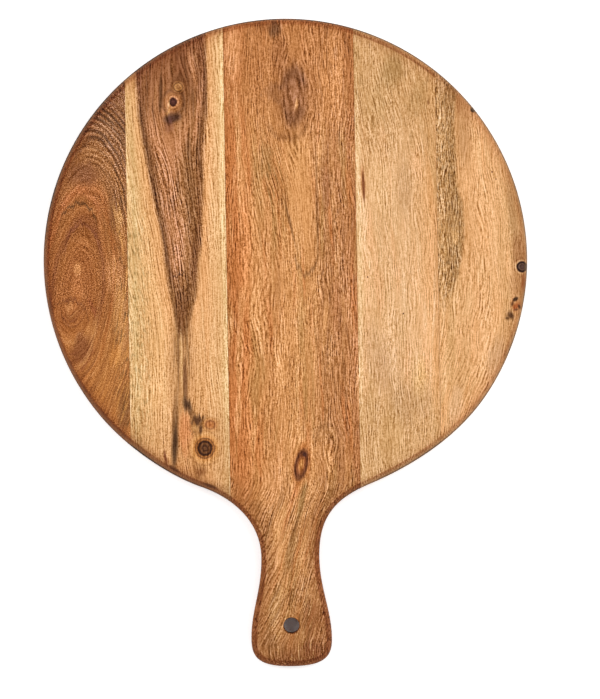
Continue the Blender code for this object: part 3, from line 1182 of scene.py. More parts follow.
class AmberHeartwood(Wood):
    """The handle's stave: amber heartwood with a dark patch, a lighter tongue and one long knot."""

    name = "amber_heartwood"
    seed = 37.0
    fibres = Fibres(streak=0.28, band=0.16)
    surface = OiledSurface(handle_side_depth=0.45, rim_shade_depth=0.12)
    strips: Stops = (
        (-37.0, shade(180, 108, 55)), (-34.0, shade(186, 112, 58)), (-30.0, shade(195, 119, 64)),
        (-26.0, shade(207, 132, 75)), (-20.0, shade(204, 138, 80)), (-10.0, shade(202, 138, 82)),
        (0.0, shade(210, 146, 88)), (10.0, shade(214, 151, 92)), (17.0, shade(203, 140, 84)),
        (25.0, shade(184, 124, 74)), (30.0, shade(184, 123, 73)), (38.0, shade(190, 127, 77)),
        (45.0, shade(176, 112, 64)),
    )
    handle_half_width = (
        (-256.0, 14.0), (-240.0, 20.0), (-220.0, 18.0), (-187.0, 13.0), (-165.0, 16.0), (-150.0, 27.0),
    )
    handle_lean = 0.34
    lean_from = -140.0
    lean_end = -242.0
    long_knot_rings = (
        (0.0, shade(208, 146, 84), 1.0), (0.26, shade(194, 126, 66), 1.0),
        (0.44, shade(150, 86, 44), 1.0), (0.64, shade(116, 63, 33), 1.0),
        (0.82, shade(88, 44, 24), 1.0), (0.97, shade(128, 72, 37), 0.9),
        (1.15, shade(188, 116, 60), 0.6), (1.60, shade(206, 140, 80), 0.0),
    )

    def paint(self, canvas: Canvas) -> Value:
        """Paints strips of amber across the stave, then its patches and its knot.

        Args:
            canvas: the stave's canvas.

        Returns:
            How strongly the grain shows.
        """
        graph = canvas.graph
        canvas.swerve(Spot(6.5, 100.0, 14.0, 30.0), 0.55)
        canvas.swerve(Spot(27.0, -120.0, 9.0, 17.0, -6.0), 0.75)
        canvas.swerve(Spot(7.7, -127.0, 11.0, 22.0, 12.0), 0.6)
        canvas.shear(Spot(-5.0, 50.0, 19.0, 26.0, -14.0))
        canvas.waver(22.0, 50.0, 3.0)
        held = graph.math("MAXIMUM", canvas.y, self.lean_end)
        lean = graph.rise(canvas.y, -122.0, -160.0) * (held - self.lean_from) * self.handle_lean
        canvas.across = canvas.across - lean
        handle = graph.rise(canvas.y, -125.0, -165.0)
        canvas.colour = graph.ramp(canvas.x + canvas.cloud(16.0, 66.0) * 2.5, self.strips)
        canvas.tint(handle * 0.6, shade(184, 125, 73))
        canvas.mottle(shade(168, 120, 64), 0.55, 5.0, 60.0, 0.1)
        canvas.mottle(shade(188, 108, 52), 0.55, 4.2, 70.0, 0.15)
        canvas.mottle(shade(228, 164, 104), 0.6, 4.6, 50.0, 0.05)
        canvas.mottle(shade(142, 88, 47), 0.32, 2.8, 40.0, 0.3)
        canvas.tint(graph.rise(canvas.y, 60.0, 130.0) * 0.7, shade(179, 112, 62))
        canvas.tint(graph.rise(canvas.y, -195.0, -250.0) * 0.6, shade(156, 101, 59))
        canvas.stains(
            Stain(Spot(31.0, 112.0, 12.0, 42.0), shade(216, 148, 90), 0.75),
            Stain(Spot(-31.0, 132.0, 7.0, 26.0), shade(218, 150, 94), 0.7),
            Stain(Spot(-1.5, 130.0, 8.0, 20.0), shade(160, 100, 58), 0.65),
            Stain(Spot(-4.5, 146.0, 6.0, 8.0), shade(106, 66, 38), 0.85),
            Stain(Spot(-12.0, 148.0, 10.0, 4.0), shade(150, 92, 50), 0.6),
            Stain(Spot(6.8, 102.0, 18.0, 37.0), shade(170, 109, 64), 0.75),
            Stain(Spot(7.0, 104.0, 12.5, 26.0), shade(154, 99, 62), 0.85, 0.75),
            Stain(Spot(8.6, 97.6, 1.7, 5.0, 10.0), shade(222, 160, 104), 0.9),
            Stain(Spot(1.5, 78.5, 9.0, 4.0), shade(156, 98, 52), 0.55),
            Stain(Spot(-11.8, 62.0, 6.0, 16.0), shade(182, 132, 78), 0.6),
            Stain(Spot(-16.0, 40.0, 4.0, 46.0, -3.0), shade(182, 130, 74), 0.5),
            Stain(Spot(-6.0, 52.0, 4.0, 40.0, -17.0), shade(158, 108, 59), 0.35),
            Stain(Spot(11.0, 40.0, 11.5, 50.0, -4.0), shade(220, 156, 97), 0.85, 0.75),
            Stain(Spot(20.6, 34.0, 1.6, 50.0), shade(142, 93, 52), 0.7),
            Stain(Spot(3.2, 24.0, 1.2, 24.0, -12.0), shade(128, 82, 44), 0.75),
            Stain(Spot(-26.0, 10.0, 4.0, 60.0), shade(216, 140, 80), 0.35),
            Stain(Spot(26.0, 44.0, 3.0, 22.0), shade(156, 98, 58), 0.6),
            Stain(Spot(33.0, -30.0, 7.0, 30.0), shade(176, 113, 67), 0.5),
            Stain(Spot(22.0, -108.0, 8.0, 10.0), shade(186, 130, 78), 0.5),
            Stain(Spot(31.0, -122.0, 5.0, 18.0, -10.0), shade(160, 102, 56), 0.6),
            Stain(Spot(8.0, -152.0, 3.0, 20.0, 14.0), shade(152, 112, 62), 0.75),
            Stain(Spot(0.5, -182.0, 3.4, 24.0, 14.0), shade(148, 104, 58), 0.7),
            Stain(Spot(-10.0, -218.0, 6.0, 22.0, 10.0), shade(198, 147, 94), 0.7),
            Stain(Spot(13.0, -226.0, 9.0, 18.0), shade(148, 89, 49), 0.7),
            Stain(Spot(-13.5, -241.0, 7.5, 9.0), shade(142, 93, 52), 0.7),
            Stain(Spot(5.5, -206.0, 5.0, 15.0, 12.0), shade(164, 110, 66), 0.45),
            Stain(Spot(-11.0, -141.0, 10.0, 22.0, 6.0), shade(224, 158, 102), 0.5),
            Stain(Spot(14.0, -246.0, 13.0, 10.0, 20.0), shade(126, 70, 39), 0.8),
            Stain(Spot(1.0, -255.0, 28.0, 14.0), shade(138, 83, 45), 0.85),
            # Painted shade: a dark line along the rounded end of the handle.
            Stain(Spot(1.0, -257.4, 26.0, 3.0), shade(76, 47, 30), 0.8, ragged=False),
            Stain(Spot(9.6, -116.0, 2.8, 6.0, 20.0), shade(194, 116, 58), 0.7),
            Stain(Spot(5.0, -143.0, 2.4, 7.0, 10.0), shade(188, 112, 58), 0.7),
        )
        canvas.arcs(
            Arc(Spot(26.5, -120.0, 9.0, 16.0, -6.0), 1.2, shade(140, 88, 48), 0.5),
            Arc(Spot(13.0, 12.0, 8.0, 21.0), 1.1, shade(138, 90, 50), 0.7, upper=False),
            Arc(Spot(3.0, 94.0, 14.0, 18.0), 2.4, shade(146, 92, 50), 0.5, upper=False),
            Arc(Spot(7.6, 103.4, 6.8, 14.8), 4.0, shade(112, 68, 43), 0.6),
            Arc(Spot(7.0, 102.4, 6.0, 13.6), 4.0, shade(112, 68, 42), 0.6, upper=False),
            Arc(Spot(7.6, 103.4, 6.0, 14.8, -80.0), 3.0, shade(120, 74, 48), 0.4),
        )
        canvas.knots(Knot(Spot(7.8, -128.8, 4.3, 10.2, 12.0), self.long_knot_rings))
        canvas.stains(
            Stain(Spot(9.9, -122.4, 1.9, 2.2), shade(70, 38, 31), 0.9, ragged=False),
            Stain(Spot(6.4, -136.6, 2.0, 2.4), shade(112, 64, 34), 0.8, ragged=False),
        )
        olive = canvas.inside(Spot(-8.0, 52.0, 13.0, 46.0, -12.0), 0.8)
        canvas.flecks(olive * 0.6, shade(136, 98, 52), 0.9, 0.08, 0.2)
        canvas.flecks(handle * 0.6, shade(132, 84, 44), 0.6, 0.05, 0.2)
        canvas.flecks(handle * 0.5, shade(222, 166, 106), 0.7, 0.06, 0.35)
        # Painted shade on the rounded sides of the handle.
        from_side = graph.curve(canvas.y, self.handle_half_width) - abs(canvas.x)
        canvas.tint(graph.rise(from_side, 7.0, -1.0) * handle * 0.55, shade(150, 93, 51))
        brown = graph.rise(canvas.x, 16.0, 26.0) * graph.rise(canvas.y, -120.0, -100.0)
        canvas.flecks(brown * 0.4, shade(136, 84, 48), 0.6, 0.06, 0.2)
        patch = canvas.inside(Spot(7.0, 104.0, 13.0, 27.0)) * 0.06
        tongue = canvas.inside(Spot(11.0, 42.0, 10.5, 46.0, -4.0)) * 0.2
        return patch - tongue + graph.rise(canvas.x, 10.0, 24.0) * 0.08 + handle * 0.06 + 0.42


class StrawSapwood(Wood):
    """The right inner stave: pale straw wood with faint clouds and one thread of resin."""

    name = "straw_sapwood"
    seed = 53.0
    fibres = Fibres(curl=2.0)
    surface = OiledSurface(
        rim_depth=0.32,
        handle_side_depth=0.3,
        lip_depth=0.8,
        # Painted light on the rim: a grey painted sheen, then dark painted shade on its steep part.
        rim_sheen_and_shade=(
            RimSheenAndShade(0.93, 0.7, shade(150, 120, 90), 0.4),
            RimSheenAndShade(0.72, 0.54, shade(56, 44, 33), 0.9),
        ),
    )
    strips: Stops = (
        (45.0, shade(240, 194, 140)), (47.5, shade(238, 191, 138)), (50.0, shade(226, 173, 120)),
        (56.0, shade(228, 178, 126)), (66.0, shade(227, 178, 127)), (76.0, shade(225, 175, 124)),
        (86.0, shade(228, 175, 122)), (93.0, shade(224, 165, 108)), (96.0, shade(213, 157, 103)),
    )

    def paint(self, canvas: Canvas) -> Value:
        """Paints even straw strips, the clouds over them and the resin.

        Args:
            canvas: the stave's canvas.

        Returns:
            How strongly the grain shows.
        """
        graph = canvas.graph
        canvas.shear(Spot(72.0, 84.0, 70.0, 46.0, -8.0))
        canvas.waver(20.0, 50.0, 3.0)
        canvas.colour = graph.ramp(canvas.x + canvas.cloud(16.0, 66.0) * 2.0, self.strips)
        canvas.mottle(shade(236, 178, 126), 0.5, 6.0, 50.0)
        canvas.mottle(shade(204, 158, 104), 0.5, 5.0, 40.0, 0.1)
        canvas.mottle(shade(240, 196, 148), 0.45, 4.0, 50.0, 0.1)
        canvas.mottle(shade(186, 138, 90), 0.2, 2.8, 36.0, 0.35)
        canvas.tint(graph.rise(canvas.y, 45.0, 110.0) * 0.75, shade(200, 150, 96))
        canvas.tint(graph.rise(canvas.y, -60.0, -115.0) * 0.75, shade(206, 158, 105))
        canvas.stains(
            Stain(Spot(47.0, 20.0, 1.6, 120.0), shade(242, 199, 148), 0.7),
            Stain(Spot(69.0, 118.0, 11.0, 16.0, 20.0), shade(172, 130, 78), 0.65),
            Stain(Spot(84.0, 100.0, 8.0, 16.0, 20.0), shade(184, 138, 84), 0.5),
            Stain(Spot(60.0, 100.0, 9.0, 22.0), shade(196, 150, 96), 0.5),
            Stain(Spot(60.0, 46.0, 9.0, 24.0), shade(240, 192, 140), 0.6),
            Stain(Spot(76.0, 45.0, 8.0, 26.0), shade(204, 158, 112), 0.55),
            Stain(Spot(73.0, -92.0, 12.0, 20.0), shade(188, 142, 95), 0.55),
            Stain(Spot(64.0, -110.0, 12.0, 20.0), shade(206, 156, 98), 0.4),
            Stain(Spot(60.0, -70.0, 8.0, 22.0), shade(212, 162, 115), 0.5),
            Stain(Spot(84.0, -78.0, 6.0, 20.0), shade(222, 172, 106), 0.5),
            Stain(Spot(58.0, -62.0, 15.0, 38.0, -22.0), shade(200, 154, 109), 0.5, 0.95),
            Stain(Spot(85.0, -90.0, 8.0, 15.0), shade(196, 150, 104), 0.55),
            Stain(Spot(91.4, 97.0, 1.2, 2.4), shade(140, 84, 44), 0.8),
        )
        canvas.stains(
            Stain(Spot(49.7, 48.0, 1.9, 15.0, -2.0), shade(198, 132, 78), 0.8, 0.6, ragged=False),
            Stain(Spot(49.9, 46.0, 1.1, 13.0, -2.0), shade(122, 66, 34), 0.95, 0.5, ragged=False),
            Stain(Spot(51.6, -11.3, 0.5, 0.7), shade(90, 40, 24), 0.9, 0.5, ragged=False),
            Stain(Spot(73.7, -34.7, 0.6, 0.7), shade(90, 40, 24), 0.9, 0.5, ragged=False),
        )
        clouded = graph.rise(canvas.y, 40.0, 90.0)
        canvas.flecks(clouded * 0.5, shade(160, 116, 66), 0.8, 0.14, 0.3)
        return graph.rise(abs(canvas.y), 30.0, 90.0) * 0.08 + 0.23


class HoneySapwood(Wood):
    """The right outer stave: honey wood, a grey-brown streak down its inner edge, a knot at the rim."""

    name = "honey_sapwood"
    seed = 71.0
    fibres = Fibres(tick=0.95, curl=2.6)
    surface = OiledSurface(
        rim_depth=0.3,
        handle_side_depth=0.3,
        crease_depth=0.15,
        lip_depth=0.1,
        # Painted light on the rim: a grey painted sheen, then dark painted shade on its steep part.
        rim_sheen_and_shade=(
            RimSheenAndShade(0.93, 0.7, shade(150, 120, 90), 0.4),
            RimSheenAndShade(0.7, 0.5, shade(78, 61, 45), 0.75),
        ),
    )
    strips: Stops = (
        (96.0, shade(211, 157, 102)), (98.5, shade(224, 171, 116)), (104.0, shade(220, 165, 110)),
        (112.0, shade(224, 167, 112)), (122.0, shade(229, 172, 117)), (132.0, shade(229, 173, 118)),
        (140.0, shade(218, 165, 110)), (146.0, shade(206, 156, 102)), (153.0, shade(192, 142, 92)),
    )
    shadow_edge = (
        (-40.0, 100.0), (-20.0, 106.0), (-5.0, 110.6), (16.0, 113.4), (32.0, 113.0), (46.0, 109.4),
        (70.0, 109.0), (85.0, 108.6), (105.0, 110.0), (125.0, 112.0),
    )
    rim_knot_rings = (
        (0.0, shade(96, 72, 62), 1.0), (0.42, shade(78, 56, 48), 1.0),
        (0.60, shade(116, 88, 72), 1.0), (0.72, shade(46, 29, 24), 1.0),
        (0.95, shade(36, 22, 18), 1.0), (1.06, shade(150, 104, 70), 0.95),
        (1.18, shade(232, 186, 132), 0.8), (1.50, shade(210, 152, 98), 0.0),
    )

    def paint(self, canvas: Canvas) -> Value:
        """Paints honey strips, the dark streak and the knot with the flaws below it.

        Args:
            canvas: the stave's canvas.

        Returns:
            How strongly the grain shows.
        """
        graph = canvas.graph
        canvas.swerve(Spot(148.9, -6.6, 12.0, 22.0), 0.5)
        canvas.shear(Spot(118.0, -84.0, 70.0, 46.0, 12.5))
        canvas.shear(Spot(138.0, 40.0, 20.0, 34.0, -12.0))
        canvas.waver(20.0, 50.0, 3.0)
        canvas.colour = graph.ramp(canvas.x + canvas.cloud(16.0, 66.0) * 2.0, self.strips)
        canvas.mottle(shade(236, 174, 116), 0.5, 6.0, 60.0)
        canvas.mottle(shade(206, 156, 100), 0.45, 5.0, 50.0, 0.15)
        canvas.mottle(shade(240, 190, 136), 0.45, 4.0, 50.0, 0.1)
        canvas.mottle(shade(190, 138, 86), 0.2, 2.8, 36.0, 0.35)
        canvas.tint(graph.rise(canvas.y, 70.0, 110.0) * 0.4, shade(212, 152, 96))
        feathered, _, _ = graph.split(canvas.ragged)
        edge = graph.curve(canvas.y, self.shadow_edge)
        shadow = graph.rise(edge - feathered, -0.6, 2.4) * graph.rise(canvas.y, -40.0, -12.0)
        core = shadow * graph.rise(canvas.x, 98.0, 106.0)
        canvas.tint(shadow * 0.55, shade(190, 142, 88))
        canvas.tint(core * 0.65, shade(158, 113, 65))
        canvas.stains(
            Stain(Spot(104.5, 108.0, 10.0, 24.0), shade(168, 120, 72), 0.7),
            Stain(Spot(113.6, 82.0, 7.0, 36.0), shade(188, 134, 84), 0.75),
            Stain(Spot(107.0, 14.0, 3.4, 7.0), shade(222, 170, 112), 0.8),
            Stain(Spot(104.0, -40.0, 4.0, 30.0), shade(196, 146, 88), 0.5),
            Stain(Spot(143.4, 26.0, 4.0, 30.0, -6.0), shade(184, 138, 88), 0.75),
            Stain(Spot(146.4, 3.0, 5.4, 17.0), shade(172, 118, 72), 0.75),
            Stain(Spot(144.6, -16.0, 6.0, 14.0), shade(184, 130, 80), 0.7),
            Stain(Spot(149.8, -17.0, 2.4, 9.0), shade(168, 96, 50), 0.75),
            Stain(Spot(103.0, -66.0, 5.0, 24.0), shade(196, 146, 88), 0.4),
            Stain(Spot(106.0, -92.0, 6.0, 18.0, 10.0), shade(228, 180, 134), 0.6),
            Stain(Spot(131.0, -62.0, 7.0, 18.0, 16.0), shade(204, 158, 114), 0.55),
            Stain(Spot(119.8, 93.0, 2.4, 2.4), shade(50, 31, 21), 1.0, 0.5, ragged=False),
            Stain(Spot(110.5, 96.0, 2.2, 10.0), shade(166, 108, 60), 0.6),
            Stain(Spot(144.5, -30.0, 5.4, 6.0), shade(190, 124, 70), 0.8),
            Stain(Spot(144.5, -30.4, 3.0, 3.2), shade(172, 92, 46), 0.9),
            Stain(Spot(140.8, -37.4, 4.0, 4.4), shade(146, 102, 62), 0.8),
        )
        canvas.stains(
            Stain(Spot(144.4, -26.8, 2.8, 1.7, -30.0), shade(52, 31, 20), 0.95, 0.6, ragged=False),
            Stain(Spot(142.4, -29.6, 1.1, 2.4, 20.0), shade(84, 50, 30), 0.85, 0.7, ragged=False),
            Stain(Spot(146.8, -31.6, 1.2, 2.4, -20.0), shade(74, 43, 27), 0.9, 0.7, ragged=False),
            Stain(Spot(144.6, -33.4, 2.4, 1.0, -10.0), shade(96, 56, 34), 0.8, 0.7, ragged=False),
            Stain(Spot(141.4, -37.0, 2.3, 3.2, -35.0), shade(92, 59, 37), 0.9, 0.7, ragged=False),
            Stain(Spot(139.0, -38.6, 1.7, 1.2), shade(108, 72, 45), 0.8, 0.6, ragged=False),
            Stain(Spot(131.0, 53.5, 0.6, 0.7), shade(90, 40, 24), 0.9, 0.5, ragged=False),
            Stain(Spot(133.4, 49.0, 0.7, 0.5), shade(110, 52, 30), 0.8, 0.5, ragged=False),
        )
        canvas.flecks(shadow * 0.6, shade(116, 82, 44), 1.3, 0.22, 0.1)
        canvas.flecks(shadow * 0.5, shade(222, 172, 112), 1.1, 0.18, 0.3)
        round_knot = (Spot(148.6, -6.5, 4.9, 5.0), 0.8, shade(150, 94, 54), 0.6)
        canvas.arcs(Arc(*round_knot, upper=True), Arc(*round_knot, upper=False))
        canvas.knots(Knot(Spot(148.9, -6.5, 3.4, 3.4), self.rim_knot_rings))
        return shadow * 0.32 + 0.245


class CuredGlue(Wood):
    """The glue between two staves, stained by the wood dust that was sanded into it."""

    name = "cured_glue"
    seed = 89.0
    fibres = Fibres(band=0.0)
    brown: Stops = (
        (-150.0, shade(146, 92, 48)), (0.0, shade(124, 75, 38)), (150.0, shade(146, 92, 48)),
    )

    def paint(self, canvas: Canvas) -> Value:
        """Paints an even brown that shifts along the joint.

        Args:
            canvas: the joint's canvas.

        Returns:
            How strongly the grain shows.
        """
        canvas.colour = canvas.graph.ramp(canvas.y, self.brown)
        return 0.15


class Side(Enum):
    """The two sides of the board, with the sign of their x."""

    LEFT = -1.0
    RIGHT = 1.0


@dataclass(frozen=True)
class Shoulder:
    """How one side of the rim leaves its circle and sweeps in to the neck, in metres and degrees."""

    leave_angle: float
    rim_reach: float
    half_width: float
    slope: float
    reach_in: float
    reach_out: float
    neck_reach: float


@dataclass(frozen=True)
class Outline:
    """The board's outline seen from above, in metres."""

    disc_radius: float
    handle_end: float
    neck_from_rim: float = 0.0347
    neck_width: float = 0.0367
    grip_from_end: float = 0.0175
    grip_width: float = 0.0509
    neck_reach: float = 0.0207
    grip_reach: float = 0.0179
    corner_reach: float = 0.0115
    end_reach: float = 0.0212
    shoulder_inside_rim: float = 0.0104
    left: Shoulder = Shoulder(50.5, 0.026, 0.0552, 70.0, 0.0215, 0.021, 0.0228)
    right: Shoulder = Shoulder(55.5, 0.0333, 0.0503, 68.0, 0.029, 0.0226, 0.0255)
    arc_step: float = math.radians(0.75)
    curve_steps: int = 28

    def bend(self, start: Vector, leaving: Vector, arriving: Vector, end: Vector) -> list[Vector]:
        """Points of a cubic curve after its start.

        Args:
            start: where the curve starts.
            leaving: the point that it leaves towards.
            arriving: the point that it arrives from.
            end: where the curve ends.

        Returns:
            The points, the last one at its end.
        """
        points = []
        for step in range(1, self.curve_steps + 1):
            t = step / self.curve_steps
            s = 1.0 - t
            ends = start * s**3 + end * t**3
            points.append(ends + leaving * (3 * s * s * t) + arriving * (3 * s * t * t))
        return points

    def half(self, side: Side) -> list[Vector]:
        """The outline of one side, from the far point of the rim to the end of the handle.

        Args:
            side: which side.

        Returns:
            The points, with x turned to that side.
        """
        shoulder = self.right if side is Side.RIGHT else self.left
        leave = math.radians(shoulder.leave_angle)
        slope = math.radians(shoulder.slope)
        sweep = math.pi - leave
        steps = math.ceil(sweep / self.arc_step)
        angles = [sweep * step / steps for step in range(steps + 1)]
        points = [Vector((math.sin(a), math.cos(a))) * self.disc_radius for a in angles]

        along_rim = Vector((-math.cos(leave), -math.sin(leave)))
        down_slope = Vector((-math.sin(slope), -math.cos(slope)))
        ahead = Vector((0.0, -1.0))
        rim = points[-1]
        turn = Vector((shoulder.half_width, self.shoulder_inside_rim - self.disc_radius))
        neck = Vector((self.neck_width / 2, -self.disc_radius - self.neck_from_rim))
        grip = Vector((self.grip_width / 2, self.grip_from_end - self.handle_end))
        end = Vector((0.0, -self.handle_end))
        across = Vector((1.0, 0.0))
        into_turn = turn - down_slope * shoulder.reach_in
        out_of_turn = turn + down_slope * shoulder.reach_out
        points += self.bend(rim, rim + along_rim * shoulder.rim_reach, into_turn, turn)
        points += self.bend(turn, out_of_turn, neck - ahead * shoulder.neck_reach, neck)
        points += self.bend(neck, neck + ahead * self.neck_reach, grip - ahead * self.grip_reach, grip)
        points += self.bend(grip, grip + ahead * self.corner_reach, end + across * self.end_reach, end)
        return [Vector((p.x * side.value, p.y)) for p in points]

    def points(self) -> list[Vector]:
        """The whole outline, clockwise seen from above."""
        return self.half(Side.RIGHT) + self.half(Side.LEFT)[-2:0:-1]


@dataclass(frozen=True)
class EdgeRound:
    """The rounded rims: tight at the far rim, full at the grip, with a crisp line at the flat face."""

    far: float = 0.003
    grip: float = 0.0065
    least_land: float = 0.001
    start_slope: float = 24.0
    steps: int = 9

    def radius(self, y: float, outline: Outline, thickness: float) -> float:
        """How far the rounding reaches in from the rim at one place along the board.

        Args:
            y: the place along the board.
            outline: the board's outline.
            thickness: the board's thickness.

        Returns:
            The reach in metres.
        """
        length = outline.disc_radius + outline.handle_end
        share = (outline.disc_radius - y) / length
        return min(self.far + (self.grip - self.far) * share * share, (thickness - self.least_land) / 2)

    def profile(self) -> list[tuple[float, float]]:
        """The rounding's section from the flat face to the upright rim.

        Returns:
            Pairs of reach in from the rim and depth below the face, as shares of the radius.
        """
        slope = math.radians(self.start_slope)
        section = []
        for step in range(self.steps + 1):
            angle = (math.pi / 2 - slope) * (1.0 - step / self.steps)
            inset = (1.0 - math.cos(angle)) / (1.0 - math.sin(slope))
            drop = 1.0 - math.sin(angle) / math.cos(slope)
            section.append((inset, drop))
        return section


@dataclass(frozen=True)
class HangingHole:
    """The drilled hole in the grip, with both mouths rounded."""

    from_end: float = 0.026
    radius: float = 0.005
    ease: float = 0.0006
    sides: int = 72
    ease_steps: int = 4

    def ring(self, outline: Outline, reach: float) -> list[Vector]:
        """Points round the hole, clockwise seen from above.

        Args:
            outline: the board's outline.
            reach: how far the ring stands off the hole's wall.

        Returns:
            The points.
        """
        centre = Vector((0.0, self.from_end - outline.handle_end))
        turns = [2 * math.pi * side / self.sides for side in range(self.sides)]
        return [centre + Vector((math.sin(t), math.cos(t))) * (self.radius + reach) for t in turns]


@dataclass(frozen=True)
class Pit:
    """A dent or a check in the face, in millimetres."""

    x: float
    y: float
    radius: float
    depth: float


@dataclass
class Blank:
    """The whole board before it is cut up: outline, rounded rims, hanging hole and fine faces."""

    PIT_MARGIN = 1.3
    MERGE = 1e-7
    CUT_MERGE = 1e-8
    MOUTH_INSIDE = 0.999
    FILL_INSIDE = 1
    outline: Outline
    thickness: float
    edge: EdgeRound = EdgeRound()
    hole: HangingHole = HangingHole()
    face_step: float = 0.0035
    pit_step: float = 0.0004
    pits: tuple[Pit, ...] = ()
    shape: bmesh.types.BMesh = field(default=None, repr=False)

    def inward(self, points: Sequence[Vector]) -> list[Vector]:
        """The direction into the board at each point of the outline.

        Args:
            points: the outline, clockwise.

        Returns:
            Unit vectors.
        """
        found = []
        for before, after in zip(points[-1:] + points[:-1], points[1:] + points[:1]):
            along = (after - before).normalized()
            found.append(Vector((along.y, -along.x)))
        return found

    def loft(self, rings: Sequence[Sequence[Place]]) -> list[list[bmesh.types.BMVert]]:
        """Joins rings of points with faces.

        Args:
            rings: rings of as many points each, from one face of the board to the other.

        Returns:
            The rings' vertices.
        """
        made = [[self.shape.verts.new(place) for place in ring] for ring in rings]
        for upper, lower in zip(made, made[1:]):
            for i in range(len(upper)):
                self.shape.faces.new((upper[i - 1], upper[i], lower[i], lower[i - 1]))
        return made

    def face_points(self) -> list[Vector]:
        """Points spread over the board and past its rim, closer together round each pit.

        Returns:
            The points.
        """
        step = self.face_step
        reach = self.outline.disc_radius
        rows = math.ceil((reach + self.outline.handle_end) / step)
        columns = math.ceil(2 * reach / step)
        spots = []
        for row in range(rows):
            for column in range(columns):
                shift = 0.5 * (row % 2)
                spots.append(Vector((-reach + (column + shift) * step, reach - row * step)))
        for pit in self.pits:
            radius = self.PIT_MARGIN * pit.radius * MM
            around = math.ceil(2 * radius / self.pit_step)
            for row in range(around):
                for column in range(around):
                    offset = Vector((column / around - 0.5, row / around - 0.5)) * (2 * radius)
                    if offset.length < radius:
                        spots.append(Vector((pit.x, pit.y)) * MM + offset)
        return spots

    def fill(self, border: list[bmesh.types.BMVert], mouth: list[bmesh.types.BMVert], up: bool) -> None:
        """Closes a flat face between the rim and the hole with small triangles.

        Args:
            border: the vertices of the face's edge.
            mouth: the vertices of the hole's edge.
            up: whether the face looks up.
        """
        edge = [Vector((v.co.x, v.co.y)) for v in border]
        rim = [Vector((v.co.x, v.co.y)) for v in mouth]
        level = border[0].co.z
        given = edge + rim + self.face_points()
        first = len(edge)
        lines = [(i, (i + 1) % first) for i in range(first)]
        lines += [(first + i, first + (i + 1) % len(rim)) for i in range(len(rim))]
        found = delaunay_2d_cdt(given, lines, [list(range(first))], self.FILL_INSIDE, self.MERGE)
        places, _, faces, sources, _, _ = found
        corners = border + mouth
        centre = sum(rim, Vector((0.0, 0.0))) / len(rim)
        inner = (rim[0] - centre).length
        made = []
        for place, source in zip(places, sources):
            known = [index for index in source if index < len(corners)]
            if known:
                made.append(corners[known[0]])
            else:
                made.append(self.shape.verts.new((place.x, place.y, level)))
        for face in faces:
            middle = sum((places[i] for i in face), Vector((0.0, 0.0))) / len(face)
            if (middle - centre).length < inner * self.MOUTH_INSIDE:
                continue
            order = face if up else reversed(face)
            self.shape.faces.new([made[i] for i in order])
        for vertex in [v for v in self.shape.verts if not v.link_faces]:
            self.shape.verts.remove(vertex)

    def build(self) -> None:
        """Makes the whole board as one closed shape."""
        self.shape = bmesh.new()
        points = self.outline.points()
        inward = self.inward(points)
        radii = [self.edge.radius(p.y, self.outline, self.thickness) for p in points]
        section = self.edge.profile()
        rings = []
        for top, order in ((True, section), (False, section[::-1])):
            for inset, drop in order:
                ring = []
                for point, into, radius in zip(points, inward, radii):
                    place = point + into * (radius * inset)
                    depth = radius * drop
                    ring.append((place.x, place.y, self.thickness - depth if top else depth))
                rings.append(ring)
        rim = self.loft(rings)

        mouths = []
        quarter = [math.pi / 2 * step / self.hole.ease_steps for step in range(self.hole.ease_steps + 1)]
        for top, order in ((True, quarter), (False, quarter[::-1])):
            for angle in order:
                reach = self.hole.ease * (1.0 - math.sin(angle))
                depth = self.hole.ease * (1.0 - math.cos(angle))
                level = self.thickness - depth if top else depth
                mouths.append([(p.x, p.y, level) for p in self.hole.ring(self.outline, reach)])
        wall = self.loft(mouths)
        self.fill(rim[0], wall[0], up=True)
        self.fill(rim[-1], wall[-1], up=False)
        bmesh.ops.recalc_face_normals(self.shape, faces=self.shape.faces)

    def slice(self, name: str, left: float, right: float) -> bpy.types.Mesh:
        """Cuts one piece out of the board between two planes across it.

        Args:
            name: the piece's name.
            left: the left plane's x, or anything left of the board for its rim.
            right: the right plane's x, or anything right of the board for its rim.

        Returns:
            The piece as a closed mesh.
        """
        piece = self.shape.copy()
        for x, outward in ((left, -1.0), (right, 1.0)):
            everything = piece.verts[:] + piece.edges[:] + piece.faces[:]
            cut = bmesh.ops.bisect_plane(
                piece,
                geom=everything,
                dist=self.CUT_MERGE,
                plane_co=(x, 0.0, 0.0),
                plane_no=(outward, 0.0, 0.0),
                clear_outer=True,
            )
            edges = [part for part in cut["geom_cut"] if isinstance(part, bmesh.types.BMEdge)]
            if edges:
                bmesh.ops.holes_fill(piece, edges=edges, sides=0)
        bmesh.ops.recalc_face_normals(piece, faces=piece.faces)
        mesh = bpy.data.meshes.new(name)
        piece.to_mesh(mesh)
        piece.free()
        return mesh


